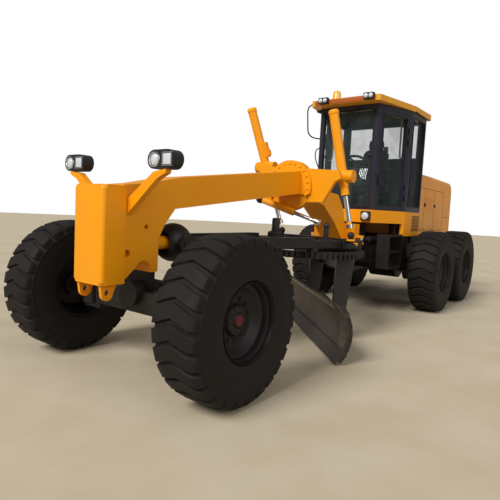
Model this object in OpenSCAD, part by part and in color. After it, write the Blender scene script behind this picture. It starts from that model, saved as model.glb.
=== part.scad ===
/* [Stance] */
// Length over the front tyres and the rear bumper
overall_l = 8970; // [8600:10:9400]
// Distance from the front axle to the tandem pivots
wheelbase = 6219; // [6100:1:6350]
// Distance between the two wheels of a tandem
tandem_pitch = 1538; // [1480:1:1600]
// Front track, between tyre centres
front_track = 2150; // [2120:1:2200]
// Rear track, between tyre centres
rear_track = 2180; // [2150:1:2220]

/* [Wheels] */
// Tyre diameter over the lugs
tyre_d = 1350; // [1320:1:1370]
// Tyre width
tyre_w = 440; // [420:1:460]
// Height of a tyre lug
lug_h = 26; // [18:1:32]
// Number of lugs on each side of a tyre
lug_count = 20; // [18:1:22]
// Angle that a lug turns from the tread's middle to its shoulder
lug_sweep = 11; // [8:0.5:14]
// Rim diameter at the bead seat
rim_d = 640; // [620:1:660]
// Thickness of the rim's wall and disc
rim_wall = 20; // [14:1:26]
// Diameter of the hub inside the rim
hub_d = 250; // [220:1:280]
// Diameter of the wheel spindles
spindle_d = 120; // [90:1:140]

/* [Front frame] */
// Width of the gooseneck beam
beam_w = 360; // [330:1:400]
// Depth of the gooseneck beam
beam_h = 290; // [260:1:320]
// Width of the nose block
nose_w = 400; // [370:1:430]
// Length of the nose block
nose_l = 215; // [190:1:240]
// Height of the nose block
nose_h = 820; // [780:1:850]
// Height of the headlamps' centres
lamp_z = 1900; // [1860:1:1960]
// Sideways place of the headlamps' centres
lamp_y = 582; // [560:1:620]
// Diameter of the saddle disc round the beam
saddle_d = 660; // [630:1:700]
// Thickness of the saddle disc
saddle_t = 120; // [90:1:150]

/* [Front axle] */
// Depth of the axle beam, front to back
axle_l = 200; // [170:1:230]
// Height of the axle beam
axle_h = 200; // [170:1:230]
// Diameter of the kingpins
kingpin_d = 90; // [70:1:100]
// Sideways place of the kingpins
kingpin_y = 760; // [740:1:780]
// Length of the steering arms
steer_arm_l = 200; // [180:1:215]
// Diameter of the tie rod
tie_rod_d = 60; // [46:1:70]

/* [Drawbar and circle] */
// Height of the drawbar's ball joint
ball_z = 1190; // [1170:1:1210]
// Diameter of the drawbar's ball cup
cup_d = 380; // [350:1:400]
// Distance from the ball joint to the circle's centre
drawbar_l = 2235; // [2210:1:2260]
// Angle of the drawbar to the left as parked
drawbar_yaw = 6.2; // [5:0.1:7]
// Diameter over the circle's teeth
circle_d = 1500; // [1460:1:1530]
// Number of circle teeth
circle_teeth = 64; // [48:1:72]
// Thickness of the circle ring
circle_t = 80; // [70:1:95]
// Sideways place of the lift balls on the drawbar
lift_y = 560; // [540:1:580]

/* [Blade] */
// Length of the moldboard
blade_l = 3660; // [3560:1:3720]
// Height of the moldboard with its cutting edge
blade_h = 610; // [590:1:640]
// Thickness of the moldboard plate
blade_t = 22; // [16:1:26]
// Radius of the moldboard's curve
blade_r = 413; // [400:1:440]
// Angle from the crosswise line, left end forward
blade_angle = 46; // [42:1:48]
// Height of the cutting edge above the ground as parked
blade_z = 20; // [15:1:80]
// Side shift as parked, positive to the blade's left end
blade_shift = -264; // [-300:1:0]
// Height of the cutting edge plate
edge_h = 150; // [130:1:170]
// Thickness of the cutting edge plate
edge_t = 19; // [14:1:22]

/* [Cylinders] */
// Outside diameter of the lift cylinder barrels
lift_barrel_d = 120; // [105:1:130]
// Length of the lift cylinder barrels' upper part
lift_barrel_l = 970; // [940:10:1010]
// Distance from a lift ball to the foot of its barrel
lift_foot = 515; // [505:1:540]
// Diameter of the lift rods
lift_rod_d = 60; // [45:1:70]
// Outside diameter of the articulation cylinder barrels
art_barrel_d = 110; // [95:1:120]
// Diameter of the articulation rods
art_rod_d = 56; // [45:1:65]

/* [Rear frame] */
// Height of the rear frame rails
rail_h = 285; // [260:1:300]
// Thickness of a rear frame rail
rail_t = 90; // [70:1:110]
// Distance between the outer faces of the rails
rails_w = 900; // [860:1:940]
// Width of a tandem case
tandem_w = 190; // [160:1:200]
// Height of a tandem case at its pivot
tandem_h = 520; // [480:1:560]

/* [Hood] */
// Width of the engine hood
hood_w = 1200; // [1160:1:1240]
// Height of the hood's top above the ground
hood_top = 2390; // [2340:1:2440]
// Thickness of the hood's sheet and frames
hood_wall = 20; // [12:1:30]

/* [Cab] */
// Width of the cab at the doors
cab_w = 1500; // [1460:1:1540]
// Width of the cab at the windscreen
cab_front_w = 980; // [940:1:1020]
// Height of the cab floor's underside
floor_z = 1450; // [1430:1:1470]
// Height of the floor band below the glass
floor_h = 200; // [170:1:220]
// Height of the roof's underside
roof_z = 3265; // [3240:1:3300]
// Thickness of the roof
roof_t = 88; // [80:1:110]
// Thickness of the cab walls and doors
cab_wall = 60; // [50:1:70]
// Thickness of the glass
glass_t = 8; // [6:1:12]

/* [Fits] */
// Running clearance of pins and shafts, on the radius
pin_gap = 0.5; // [0.3:0.1:1]
// Clearance between seated faces on moving bodies
seat_gap = 0.5; // [0.3:0.1:1]
// Clearance between seated pieces of one body
fit_gap = 0.3; // [0.2:0.1:0.5]
// Clearance at the opened eyes of the lift rods
lift_open = 48; // [46:1:60]
// Clearance at the opened eye of the centre-shift rod
centre_open = 70; // [68:1:80]

/* [Hidden] */
$fn = 48;
paint = "#f0a000";
steel_black = "#1c1c1e";
tyre_black = "#3a3432";
cab_blue = "#26283a";
chrome = "#c8ccd0";
far = 10000;

// Places along the machine, from the overall length and the wheelbase
front_x = overall_l / 2 - tyre_d / 2;
front_y = front_track / 2;
rear_y = rear_track / 2;
tandem_x = front_x - wheelbase;
wheel_z = tyre_d / 2;
mid_x = tandem_x + tandem_pitch / 2;
rear_x = tandem_x - tandem_pitch / 2;
tail_x = -overall_l / 2;
nose_x = front_x + 372;
nose_z = 870;
hitch_x = front_x - 4140;
saddle_x = front_x - 2525;
saddle_z = 1900;
ball_x = front_x - 390;

// An outline in X and Z, drawn out across the machine
module side_prism(w, y = 0) translate([0, y + w / 2, 0]) rotate([90, 0, 0]) linear_extrude(w) children();

// An outline in Y and Z, drawn out along the machine from x
module front_prism(l, x) translate([x, 0, 0]) rotate([90, 0, 90]) linear_extrude(l) children();

// A cylinder across the machine, about its middle
module cross_pin(r, l, at) translate(at) rotate([90, 0, 0]) cylinder(h = l, r = r, center = true);

// A box given by its middle in Y and its ranges in X and Z
module block(x0, x1, w, z0, z1, y = 0) translate([x0, y - w / 2, z0]) cube([x1 - x0, w, z1 - z0]);

// A piece of the left side, kept (s = 1) or mirrored to the right (s = -1)
module on_side(s) mirror([0, s < 0 ? 1 : 0, 0]) children();

// A flat outline with its corners rounded
module rounded(r) offset(r) offset(-r) children();

// Gooseneck and front frame
// Top of the beam, in X from the front axle
function beam_top(dx) = 1819 - 0.123 * (dx + 320);
beam_end = saddle_x - front_x;
hitch_z = [880, 1240];
tongue_t = 90;
tongue_r = 110;
hitch_pin_d = 100;
leg_x = front_x - 3810;
wing_y = 345;
art_eye = [leg_x - 170, 400, 1180];
art_base = [leg_x - 1150, 380, 1180];
art_lug_t = 34;
art_eye_t = 66;

module gooseneck_outline() translate([front_x, 0]) polygon([
    [372, 1698], [103, 1733], [-320, beam_top(-320)], [beam_end, beam_top(beam_end)],
    [-3347, 1862], [-3579, 1846], [-3798, 1614], [-3829, 1440], [-3990, 1400], [-3990, 860],
    [-3840, 860], [-3790, 1180], [-3523, 1420], [-3148, 1668],
    [beam_end, beam_top(beam_end) - beam_h], [-230, beam_top(-230) - beam_h],
    [-100, 1365], [-33, 1240], [-33, 944], [135, 944], [220, 999], [372, nose_z]]);

module nose_block() translate([nose_x, 0, nose_z]) linear_extrude(nose_h) difference() {
    translate([-20, -nose_w / 2]) square([nose_l + 20, nose_w]);
    for (s = [-1, 1]) translate([nose_l, s * nose_w / 2]) rotate(45) square(60, center = true);
}

module tow_lug(y) difference() {
    side_prism(30, y) translate([nose_x, 0]) {
        polygon([[69, 790], [181, 790], [200, nose_z + 30], [20, nose_z + 30]]);
        translate([125, 790]) circle(56);
    }
    cross_pin(28, 60, [nose_x + 125, y, 800]);
}

module lamp_bracket() front_prism(60, front_x + 283) polygon([
    [beam_w / 2 - 5, 1441], [beam_w / 2 - 5, 1571], [lamp_y - 80, lamp_z - 95],
    [lamp_y + 60, lamp_z - 75 - fit_gap], [lamp_y + 60, lamp_z - 105], [lamp_y - 40, lamp_z - 150]]);

module hitch_tongue(z) difference() {
    translate([0, 0, z]) linear_extrude(tongue_t) hull() {
        translate([hitch_x, 0]) circle(tongue_r);
        translate([leg_x - 200, -beam_w / 2]) square([40, beam_w]);
    }
    translate([hitch_x, 0, z - 1]) cylinder(h = tongue_t + 2, d = hitch_pin_d + 2 * pin_gap);
}

// A wing with two ears round the eye of an articulation rod
module hitch_wing() {
    block(leg_x - 235, leg_x - 60, wing_y - beam_w / 2 + 10, 1000, 1420, (wing_y + beam_w / 2 - 10) / 2);
    for (z = [art_eye.z - art_eye_t / 2 - seat_gap - art_lug_t, art_eye.z + art_eye_t / 2 + seat_gap])
        translate([0, 0, z]) linear_extrude(art_lug_t) {
            polygon([[leg_x - 235, wing_y - 10], [leg_x - 60, wing_y - 10],
                [art_eye.x + 52, art_eye.y], [art_eye.x - 52, art_eye.y]]);
            translate([art_eye.x, art_eye.y]) circle(52);
        }
}

module front_frame() color(paint) {
    difference() {
        union() {
            side_prism(beam_w) gooseneck_outline();
            nose_block();
            for (s = [-1, 1]) {
                tow_lug(s * 150);
                on_side(s) lamp_bracket();
                on_side(s) hitch_wing();
            }
            for (z = hitch_z) hitch_tongue(z);
            // Neck that carries the drawbar's ball
            translate([ball_x + cup_d / 4, 0, ball_z]) rotate([0, 90, 0]) cylinder(h = 300, d = 130);
            translate([ball_x, 0, ball_z]) sphere(cup_d / 4 + 15);
        }
        // Notch over the axle, and the holes through the nose plates
        cross_pin(92, beam_w + 2, [front_x + 135, 0, 960]);
        cross_pin(32, beam_w + 2, [front_x + 318, 0, 1123]);
        cross_pin(22, beam_w + 2, [front_x + 113, 0, 1349]);
    }
}

lens_r = 52;
module headlamps() color("#18181a") for (s = [-1, 1]) difference() {
    front_prism(110, front_x + 235) hull() for (y = [-75, 75]) translate([s * lamp_y + y, lamp_z]) circle(75);
    // Recesses of the round and the square lens
    front_prism(20, front_x + 330) translate([s * lamp_y - 75, lamp_z]) circle(lens_r);
    front_prism(20, front_x + 330) translate([s * lamp_y + 75, lamp_z]) square(90, center = true);
}

// Front axle, knuckles and steering
post_z = [500, 850];
axle_top = wheel_z + 90;
knuckle_r = 85;
steer_x = front_x - steer_arm_l;
arm_z = 700;
arm_t = 40;
tie_z = arm_z + arm_t + seat_gap + 40;

module front_axle() color(steel_black) {
    block(front_x - axle_l / 2, front_x + axle_l / 2, 2 * kingpin_y - 420, axle_top - axle_h, axle_top);
    // Pedestal under the gooseneck, with the axle's pivot
    block(front_x - 30, front_x + 40, 300, axle_top - 20, 944);
    translate([front_x - 150, 0, wheel_z + 60]) rotate([0, 90, 0]) cylinder(h = 300, r = 115);
    for (s = [-1, 1]) {
        // Yoke that holds the kingpin above and below
        for (z = [post_z[0], post_z[1] - 30])
            translate([0, 0, z]) linear_extrude(30) hull() {
                translate([front_x, s * kingpin_y]) circle(65);
                translate([front_x - 60, s * (kingpin_y - 215) - 10]) square([120, 20]);
            }
        block(front_x - 40, front_x + 40, 90, post_z[0] + 10, post_z[1] - 10, s * (kingpin_y - 180));
        translate([front_x, s * kingpin_y, post_z[0]])
            cylinder(h = post_z[1] - post_z[0] + 12, d = kingpin_d);
    }
    // Steering ram behind the beam, round the tie rod
    difference() {
        union() {
            cross_pin(55, 520, [steer_x, 0, tie_z]);
            block(steer_x, front_x - 20, 90, arm_z + 10, tie_z);
        }
        cross_pin(tie_rod_d / 2 + pin_gap, 522, [steer_x, 0, tie_z]);
    }
}

module knuckle(s) color(steel_black) translate([front_x, s * kingpin_y, 0]) difference() {
    union() {
        translate([0, 0, post_z[0] + 30 + seat_gap])
            cylinder(h = post_z[1] - post_z[0] - 60 - 2 * seat_gap, r = knuckle_r);
        // Spindle for the wheel
        cross_pin(spindle_d / 2, front_y + 15 - kingpin_y, [0, s * (front_y + 15 - kingpin_y) / 2, wheel_z]);
        cross_pin(spindle_d / 2 + 25, 40, [0, s * 82, wheel_z]);
        // Steering arm
        translate([0, 0, arm_z]) linear_extrude(arm_t) hull() {
            translate([-40, -30]) square([10, 60]);
            translate([-steer_arm_l, 0]) circle(40);
        }
    }
    translate([0, 0, post_z[0]]) cylinder(h = post_z[1] - post_z[0], d = kingpin_d + 2 * pin_gap);
}
module knuckle_left() knuckle(1);
module knuckle_right() knuckle(-1);

module tie_rod() color(chrome) {
    cross_pin(tie_rod_d / 2, 2 * kingpin_y - 60, [steer_x, 0, tie_z]);
    for (s = [-1, 1]) translate([steer_x, s * kingpin_y, tie_z - 40]) cylinder(h = 70, r = 42);
}

// Wheels: tyre and rim, about the wheel's own middle
rim_r = rim_d / 2;
tyre_r = tyre_d / 2;

crown_r = tyre_r - lug_h;
crown_fn = 44;

module carcass_outline() translate([0, -tyre_w / 2]) polygon([
    [rim_r + fit_gap, 30], [rim_r + 50, 12], [tyre_r - 170, 0], [crown_r - 20, 55],
    [crown_r - 20, tyre_w - 55], [tyre_r - 170, tyre_w], [rim_r + 50, tyre_w - 12], [rim_r + fit_gap, tyre_w - 30]]);

// Tread seen from the side: a lug stands out in each pitch
module tread_outline() difference() {
    pitch = 360 / lug_count;
    polygon([for (i = [0:lug_count - 1]) for (c = [[0, crown_r], [0.06, tyre_r], [0.44, tyre_r], [0.5, crown_r]])
        c[1] * [cos((i + c[0]) * pitch), sin((i + c[0]) * pitch)]]);
    circle(crown_r - 60, $fn = crown_fn);
}

// Half of the tread, with its lugs swept back from the middle
module tread(s) mirror([0, 0, s < 0 ? 1 : 0])
    linear_extrude(height = tyre_w / 2 - 6, twist = lug_sweep, scale = 0.965, slices = 1) tread_outline();

module tyre(x, y) color(tyre_black) translate([x, y, wheel_z]) rotate([90, 0, 0]) {
    rotate_extrude($fn = crown_fn) carcass_outline();
    tread(1);
    tread(-1);
}

// Rim with its disc at the middle and the hub on its inner side, turned outwards by s
module rim(x, y, s) color("#501818") translate([x, y, wheel_z]) rotate([-90 * s, 0, 0]) difference() {
    rotate_extrude($fn = 64) union() {
        translate([rim_r - rim_wall, -tyre_w / 2 + 10]) square([rim_wall, tyre_w - 20]);
        translate([0, -rim_wall]) square([rim_r - 1, rim_wall]);
        translate([0, -40]) square([hub_d / 2, 90]);
    }
    translate([0, 0, -41]) cylinder(h = 60, d = spindle_d + 2 * pin_gap);
}

module tyre_front_left() tyre(front_x, front_y);
module tyre_front_right() tyre(front_x, -front_y);
module tyre_mid_left() tyre(mid_x, rear_y);
module tyre_mid_right() tyre(mid_x, -rear_y);
module tyre_rear_left() tyre(rear_x, rear_y);
module tyre_rear_right() tyre(rear_x, -rear_y);
module rim_front_left() rim(front_x, front_y, 1);
module rim_front_right() rim(front_x, -front_y, -1);
module rim_mid_left() rim(mid_x, rear_y, 1);
module rim_mid_right() rim(mid_x, -rear_y, -1);
module rim_rear_left() rim(rear_x, rear_y, 1);
module rim_rear_right() rim(rear_x, -rear_y, -1);

// Saddle and lift cylinders
// Sides as [side, collar y, collar z, ball y from the drawbar's middle]
lift_sides = [[1, 673, 2029, lift_y], [-1, -509, 2163, -lift_y]];
collar_x = saddle_x - 140;
arm_x = [saddle_x - 35, saddle_x + 25];
lift_x = -2400;
lift_ball_z = 1290;
lift_ball_r = 45;
collar_r = lift_barrel_d / 2 + 35;
sleeve_r = 78;
function turned(v, a) = [v.x * cos(a) - v.y * sin(a), v.x * sin(a) + v.y * cos(a), v.z];
function ball_at(i) = [ball_x, 0, 0] + turned([lift_x, lift_sides[i][3], lift_ball_z], -drawbar_yaw);
function collar_at(i) = [collar_x, lift_sides[i][1], lift_sides[i][2]];

// Puts a child that stands on +Z on the line from a lift ball up to its collar
module on_lift_line(i) {
    d = collar_at(i) - ball_at(i);
    translate(ball_at(i)) rotate([0, acos(d.z / norm(d)), atan2(d.y, d.x)]) children();
}
function lift_span(i) = norm(collar_at(i) - ball_at(i));

// Left and right arm from the disc to the collar c
module left_arm(c) polygon([
    [150, saddle_z - 214], [c.y - 182, saddle_z - 208], [c.y - 99, c.z - 200], [c.y - 28, c.z - 76],
    [c.y + 50, c.z - 40], [c.y + 20, c.z + 60], [c.y - 110, c.z + 70], [150, saddle_z + 230]]);
module right_arm(c) hull() {
    translate([-200, saddle_z + 130]) circle(90);
    translate([c.y, c.z]) circle(60);
}

// Disc round the beam, with an arm before each lift cylinder's collar
module saddle() color(paint) difference() {
    union() {
        front_prism(saddle_t, saddle_x - saddle_t / 2) translate([0, saddle_z]) circle(saddle_d / 2, $fn = 64);
        front_prism(arm_x[1] - arm_x[0], arm_x[0]) left_arm(collar_at(0));
        front_prism(arm_x[1] - arm_x[0], arm_x[0]) right_arm(collar_at(1));
        for (i = [0, 1]) translate(collar_at(i) + [collar_r + seat_gap, 0, 0]) rotate([0, 90, 0])
            cylinder(h = arm_x[0] - collar_x - collar_r + 5, r = 40);
        // Lug behind the centre-shift cylinder's ball
        front_prism(saddle_t - 10, saddle_x - saddle_t / 2 + 10) hull() {
            translate([centre_base.y, centre_base.z]) circle(60);
            translate([-240, centre_base.z + 90]) circle(80);
        }
    }
    side_prism(beam_w + 2 * fit_gap) offset(delta = fit_gap) gooseneck_outline();
    // Recess behind the centre-shift cylinder's sweep
    block(saddle_x + 20, saddle_x + saddle_t, 620, saddle_z - saddle_d / 2 - 10, centre_base.z + 78, 45);
}

module lift_barrel(i) color(paint) difference() {
    union() {
        on_lift_line(i) {
            translate([0, 0, lift_foot]) cylinder(h = lift_span(i) - lift_foot, d = lift_barrel_d - 16);
            translate([0, 0, lift_span(i) - 130]) cylinder(h = lift_barrel_l, d = lift_barrel_d);
            translate([0, 0, lift_span(i)]) sphere(collar_r);
        }
        cross_pin(sleeve_r, 300, collar_at(i));
    }
    on_lift_line(i) translate([0, 0, lift_foot - 1])
        cylinder(h = lift_span(i) + lift_barrel_l - 169 - lift_foot, d = lift_rod_d + 2 * pin_gap);
}
module lift_barrel_left() lift_barrel(0);
module lift_barrel_right() lift_barrel(1);

module lift_rod(i) color(chrome) on_lift_line(i) {
    translate([0, 0, lift_ball_r + lift_open + 20]) cylinder(h = lift_span(i) + lift_barrel_l - 640, d = lift_rod_d);
    translate([0, 0, lift_ball_r + lift_open]) cylinder(h = 50, r = 44);
}
module lift_rod_left() lift_rod(0);
module lift_rod_right() lift_rod(1);

// Drawbar, circle and blade
bar_z = [1130, 1310];
bar_w = 130;
cup_r = cup_d / 2;
cup_in = cup_d / 4 + 20;
ear_t = 40;
// Post that takes the centre-shift rod, in the drawbar's frame
shift_post = [-2075, 400, 1400];
circle_z = 1010;
circle_r = circle_d / 2;
circle_w = 120;
circle_at = [ball_x, 0, 0] + turned([-drawbar_l, 0, 0], -drawbar_yaw);

// The drawbar's own frame: its origin on the ball joint's plumb line, -X to the circle
module on_drawbar() translate([ball_x, 0, 0]) rotate([0, 0, -drawbar_yaw]) children();

module drawbar_cup() color(steel_black) on_drawbar() translate([0, 0, ball_z]) difference() {
    union() {
        sphere(cup_r);
        cross_pin(45, cup_d + 2 * ear_t + 30, [0, 0, 0]);
    }
    sphere(cup_in);
    // Mouth for the frame's neck, with room for the drawbar's swing
    rotate([0, 90, drawbar_yaw]) cylinder(h = cup_d, r1 = 60, r2 = 200);
}

module bar(s) hull() {
    translate([0, s * (cup_r + 6 + ear_t / 2)]) circle(ear_t / 2);
    translate([-drawbar_l + 560, s * 440]) circle(bar_w / 2);
}

module drawbar() color(steel_black) on_drawbar() {
    difference() {
        union() {
            for (s = [-1, 1]) {
                translate([0, 0, bar_z[0] + 10]) linear_extrude(bar_z[1] - bar_z[0] - 60) bar(s);
                cross_pin(88, ear_t, [0, s * (cup_r + 6 + ear_t / 2), ball_z]);
            }
            // Cross plates, and the frame over the circle
            block(-drawbar_l + 1180, -drawbar_l + 1300, 720, bar_z[0] + 20, bar_z[1] - 70);
            difference() {
                translate([-drawbar_l, 0, bar_z[0]]) linear_extrude(90) square([1150, 2 * lift_y - 120], center = true);
                translate([-drawbar_l, 0, bar_z[0] - 1]) linear_extrude(92) rounded(90) square([930, 640], center = true);
            }
            // Crossbar with the lift balls at its ends
            translate([0, 0, bar_z[0]]) block(lift_x - 90, lift_x + 90, 2 * lift_y - 60, 0, 110);
            for (s = [-1, 1]) {
                translate([lift_x, s * lift_y, bar_z[0]]) cylinder(h = lift_ball_z - bar_z[0], r = 34);
                translate([lift_x, s * lift_y, bar_z[0]]) cylinder(h = 60, r = 90);
                translate([lift_x, s * lift_y, lift_ball_z]) sphere(lift_ball_r);
                // Guide shoes that hang the circle
                for (x = [-1, 1]) translate([-drawbar_l + x * 500, s * 450, circle_z + circle_t + seat_gap])
                    cylinder(h = bar_z[0] - circle_z - circle_t + 5, r = 70);
            }
            // Post of the centre-shift rod
            translate([shift_post.x, shift_post.y, bar_z[0]]) cylinder(h = shift_post.z - bar_z[0], r = 32);
            translate([shift_post.x, shift_post.y, bar_z[0]]) cylinder(h = 100, r = 80);
            translate(shift_post) sphere(centre_eye_r);
        }
        cross_pin(45 + pin_gap, 2 * cup_d, [0, 0, ball_z]);
    }
}

// Centre-shift cylinder, across from the saddle's right side to the drawbar's left
centre_ball_r = 60;
centre_eye_r = 40;
centre_base = [saddle_x + saddle_t / 2 + seat_gap + centre_ball_r, -400, 1710];
centre_eye = [ball_x, 0, 0] + turned(shift_post, -drawbar_yaw);
centre_span = norm(centre_eye - centre_base);
centre_d = 90;
centre_rod_d = 50;
centre_barrel_l = 500;

module on_centre_line() {
    d = centre_eye - centre_base;
    translate(centre_base) rotate([0, acos(d.z / norm(d)), atan2(d.y, d.x)]) children();
}

module centre_ball() color(steel_black) translate(centre_base) sphere(centre_ball_r);

module centre_barrel() color(paint) on_centre_line() difference() {
    translate([0, 0, centre_ball_r + seat_gap]) cylinder(h = centre_barrel_l, d = centre_d);
    translate([0, 0, centre_ball_r + 12]) cylinder(h = centre_barrel_l, d = centre_rod_d + 2 * pin_gap);
}

module centre_rod() color(chrome) on_centre_line() {
    translate([0, 0, 350]) cylinder(h = centre_span - centre_eye_r - centre_open - 360, d = centre_rod_d);
    translate([0, 0, centre_span - centre_eye_r - centre_open - 60]) cylinder(h = 60, r = 40);
}

// Frame of the blade: origin at the circle's centre on the ground, +Y along the blade to its left end
module on_blade() translate([circle_at.x, circle_at.y, 0]) rotate([0, 0, -blade_angle]) children();

blade_front = 45;
arm_y = 600;
pivot = [blade_front - 333, 330];
pivot_r = 45;

module ring() translate([0, 0, circle_z]) linear_extrude(circle_t) difference() {
    polygon([for (i = [0:circle_teeth - 1]) for (c = [[0.05, -34], [0.25, 0], [0.55, 0], [0.75, -34]])
        (circle_r + c[1]) * [cos((i + c[0]) * 360 / circle_teeth), sin((i + c[0]) * 360 / circle_teeth)]]);
    circle(circle_r - circle_w, $fn = 96);
}

// Plate that hangs from the ring down to the blade's pivot
module circle_arm(y) difference() {
    side_prism(50, y) hull() {
        translate([-circle_r * 0.6, circle_z]) square([circle_r * 0.3, 5]);
        translate(pivot) circle(80);
    }
    cross_pin(pivot_r + pin_gap, 60, [pivot.x, y, pivot.y]);
}

module circle_ring() color(steel_black) on_blade() {
    ring();
    for (s = [-1, 1]) circle_arm(s * arm_y);
    block(-400, -360, 2 * arm_y, circle_z - 160, circle_z + 10);
}

blade_mid = blade_z + blade_h / 2;
blade_half = asin(blade_h / 2 / (blade_r + blade_t));
// Middle of the moldboard's curve, in front of it
curve_x = blade_front + (blade_r + blade_t) * cos(blade_half) - 12;

module arc_band(r, t, a) intersection() {
    difference() {
        circle(r + t, $fn = 128);
        circle(r, $fn = 128);
    }
    polygon([[0, 0], [-far * cos(a), far * sin(a)], [-far, 0], [-far * cos(a), -far * sin(a)]]);
}

rail = 50;
rail_x = blade_front - 131;
rail_dz = 205;
shift_at = [blade_front - 175, 422];
shift_r = 40;
shift_rod_r = 20;
shift_end = 1250;

module moldboard_outline() {
    translate([curve_x, blade_mid]) {
        arc_band(blade_r, blade_t, blade_half);
        // Cutting edge on the chord of the curve's lowest stretch
        rotate(blade_half) translate([-blade_r, 0]) rotate(-asin(edge_h / 2 / blade_r))
            translate([-8, 0]) square([edge_t + 8, edge_h]);
    }
    // Slide rails along the back
    for (z = [-1, 1]) translate([rail_x, blade_mid + z * rail_dz - rail / 2]) square([rail, rail]);
}

module moldboard() color("#6e6058") on_blade() {
    side_prism(blade_l, blade_shift) moldboard_outline();
    // Ear that takes the side-shift rod
    difference() {
        block(shift_at.x - 45, rail_x + 30, 30, shift_at[1] - 45, shift_at[1] + 45, shift_end);
        cross_pin(shift_rod_r + fit_gap, 40, [shift_at.x, shift_end, shift_at[1]]);
    }
}

module shift_rod() color(chrome) on_blade() {
    cross_pin(shift_rod_r, shift_end + 20, [shift_at.x, shift_end / 2 + 30, shift_at[1]]);
    cross_pin(34, 24, [shift_at.x, shift_end + 28, shift_at[1]]);
}

module blade_carrier() color(steel_black) on_blade() difference() {
    union() {
        cross_pin(pivot_r, 2 * arm_y + 110, [pivot.x, 0, pivot.y]);
        // Barrel of the side-shift cylinder
        cross_pin(shift_r, 1100, [shift_at.x, 0, shift_at[1]]);
        for (s = [-1, 1]) {
            // Bracket from the pivot shaft to the shoes on both rails
            side_prism(60, s * 430) hull() {
                translate(pivot) circle(75);
                for (z = [-1, 1]) translate([rail_x - 60, blade_mid + z * rail_dz - 35]) square([30, 70]);
            }
            for (z = [-1, 1]) {
                block(rail_x - 60, rail_x - seat_gap, 160, blade_mid + z * rail_dz - 55, blade_mid + z * rail_dz + 55, s * 430);
                block(rail_x - 20, rail_x + 20, 160, blade_mid + z * (rail_dz + rail / 2 + seat_gap + 13) - 13,
                    blade_mid + z * (rail_dz + rail / 2 + seat_gap + 13) + 13, s * 430);
            }
        }
    }
    cross_pin(shift_rod_r + pin_gap, 1060, [shift_at.x, 30, shift_at[1]]);
}

// Rear frame, tandems and articulation cylinders
rail_z = [830, 830 + rail_h];
frame_x = hitch_x - 180;
fork_t = 50;
fork_gap = 6;
base_r = 30;
pedestal_z = wheel_z + 280;
barrel_len = 655;

module art_fork(z) difference() {
    translate([0, 0, z]) linear_extrude(fork_t) hull() {
        translate([hitch_x, 0]) circle(tongue_r + 15);
        translate([frame_x - 60, -rails_w / 4]) square([60, rails_w / 2]);
    }
}

module rear_frame() color(steel_black) {
    for (s = [-1, 1])
        block(tail_x + 260, frame_x, rail_t, rail_z[0], rail_z[1], s * (rails_w - rail_t) / 2);
    // Bolster behind the hitch, bumper and cross members
    block(frame_x - 160, frame_x, rails_w, rail_z[0] - 10, rail_z[1]);
    block(frame_x - 160, frame_x, rails_w - 380, rail_z[1] - 10, floor_z - fit_gap);
    block(tail_x, tail_x + 270, rails_w + 500, rail_z[0] - 60, 1240);
    for (x = [tandem_x + 900, (tail_x + tandem_x) / 2]) block(x - 60, x + 60, rails_w, rail_z[0], rail_z[1] - 60);
    // Sills under the hood, and posts under the cab
    for (s = [-1, 1]) {
        block(hood_x[0] + 300, hood_x[1] - 20, 170, rail_z[1] - 10, hood_z - fit_gap, s * (hood_w - 170) / 2);
        block(cab_x[2] + 10, cab_x[2] + 170, 150, rail_z[1] - 10, floor_z - fit_gap, s * (rails_w - 170) / 2);
    }
    // Pedestal over the axle
    block(tandem_x - 260, tandem_x + 260, rails_w, pedestal_z, rail_z[1] - 60);
    for (z = hitch_z) {
        art_fork(z - fork_gap - fork_t);
        art_fork(z + tongue_t + fork_gap);
    }
    translate([hitch_x, 0, hitch_z[0] - fork_gap - fork_t])
        cylinder(h = hitch_z[1] - hitch_z[0] + tongue_t + 2 * (fork_gap + fork_t) + 20, d = hitch_pin_d);
    // Ears round the base eyes of the articulation cylinders
    for (s = [-1, 1]) for (z = [-1, 1])
        block(art_base.x - 55, art_base.x + 38, 100, art_base.z + z * (art_eye_t / 2 + seat_gap + 15) - 15,
            art_base.z + z * (art_eye_t / 2 + seat_gap + 15) + 15, s * art_base.y);
    for (s = [-1, 1]) translate([art_base.x, s * art_base.y, art_base.z - 70]) cylinder(h = 140, r = base_r);
}

module case_outline() hull() {
    for (x = [mid_x, rear_x]) translate([x, wheel_z]) circle(190);
    translate([tandem_x, wheel_z + 20]) circle(tandem_h / 2);
}

module tandems() color(steel_black) {
    cross_pin(145, 1400, [tandem_x, 0, wheel_z]);
    cross_pin(270, 520, [tandem_x, 0, wheel_z]);
    block(tandem_x - 250, tandem_x + 250, 500, wheel_z + 60, pedestal_z - fit_gap);
    for (s = [-1, 1]) {
        side_prism(tandem_w, s * (rear_y - tyre_w / 2 - 40 - tandem_w / 2)) case_outline();
        for (x = [mid_x, rear_x]) {
            cross_pin(spindle_d / 2, 305, [x, s * (rear_y + 15 - 305 / 2), wheel_z]);
            cross_pin(spindle_d / 2 + 30, 220, [x, s * (rear_y - 155), wheel_z]);
        }
    }
}

module on_art_line(s) {
    d = [art_eye.x - art_base.x, art_eye.y - art_base.y];
    on_side(s) translate(art_base) rotate([0, 90, atan2(d.y, d.x)]) children();
}
art_span = norm(art_eye - art_base);

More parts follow.
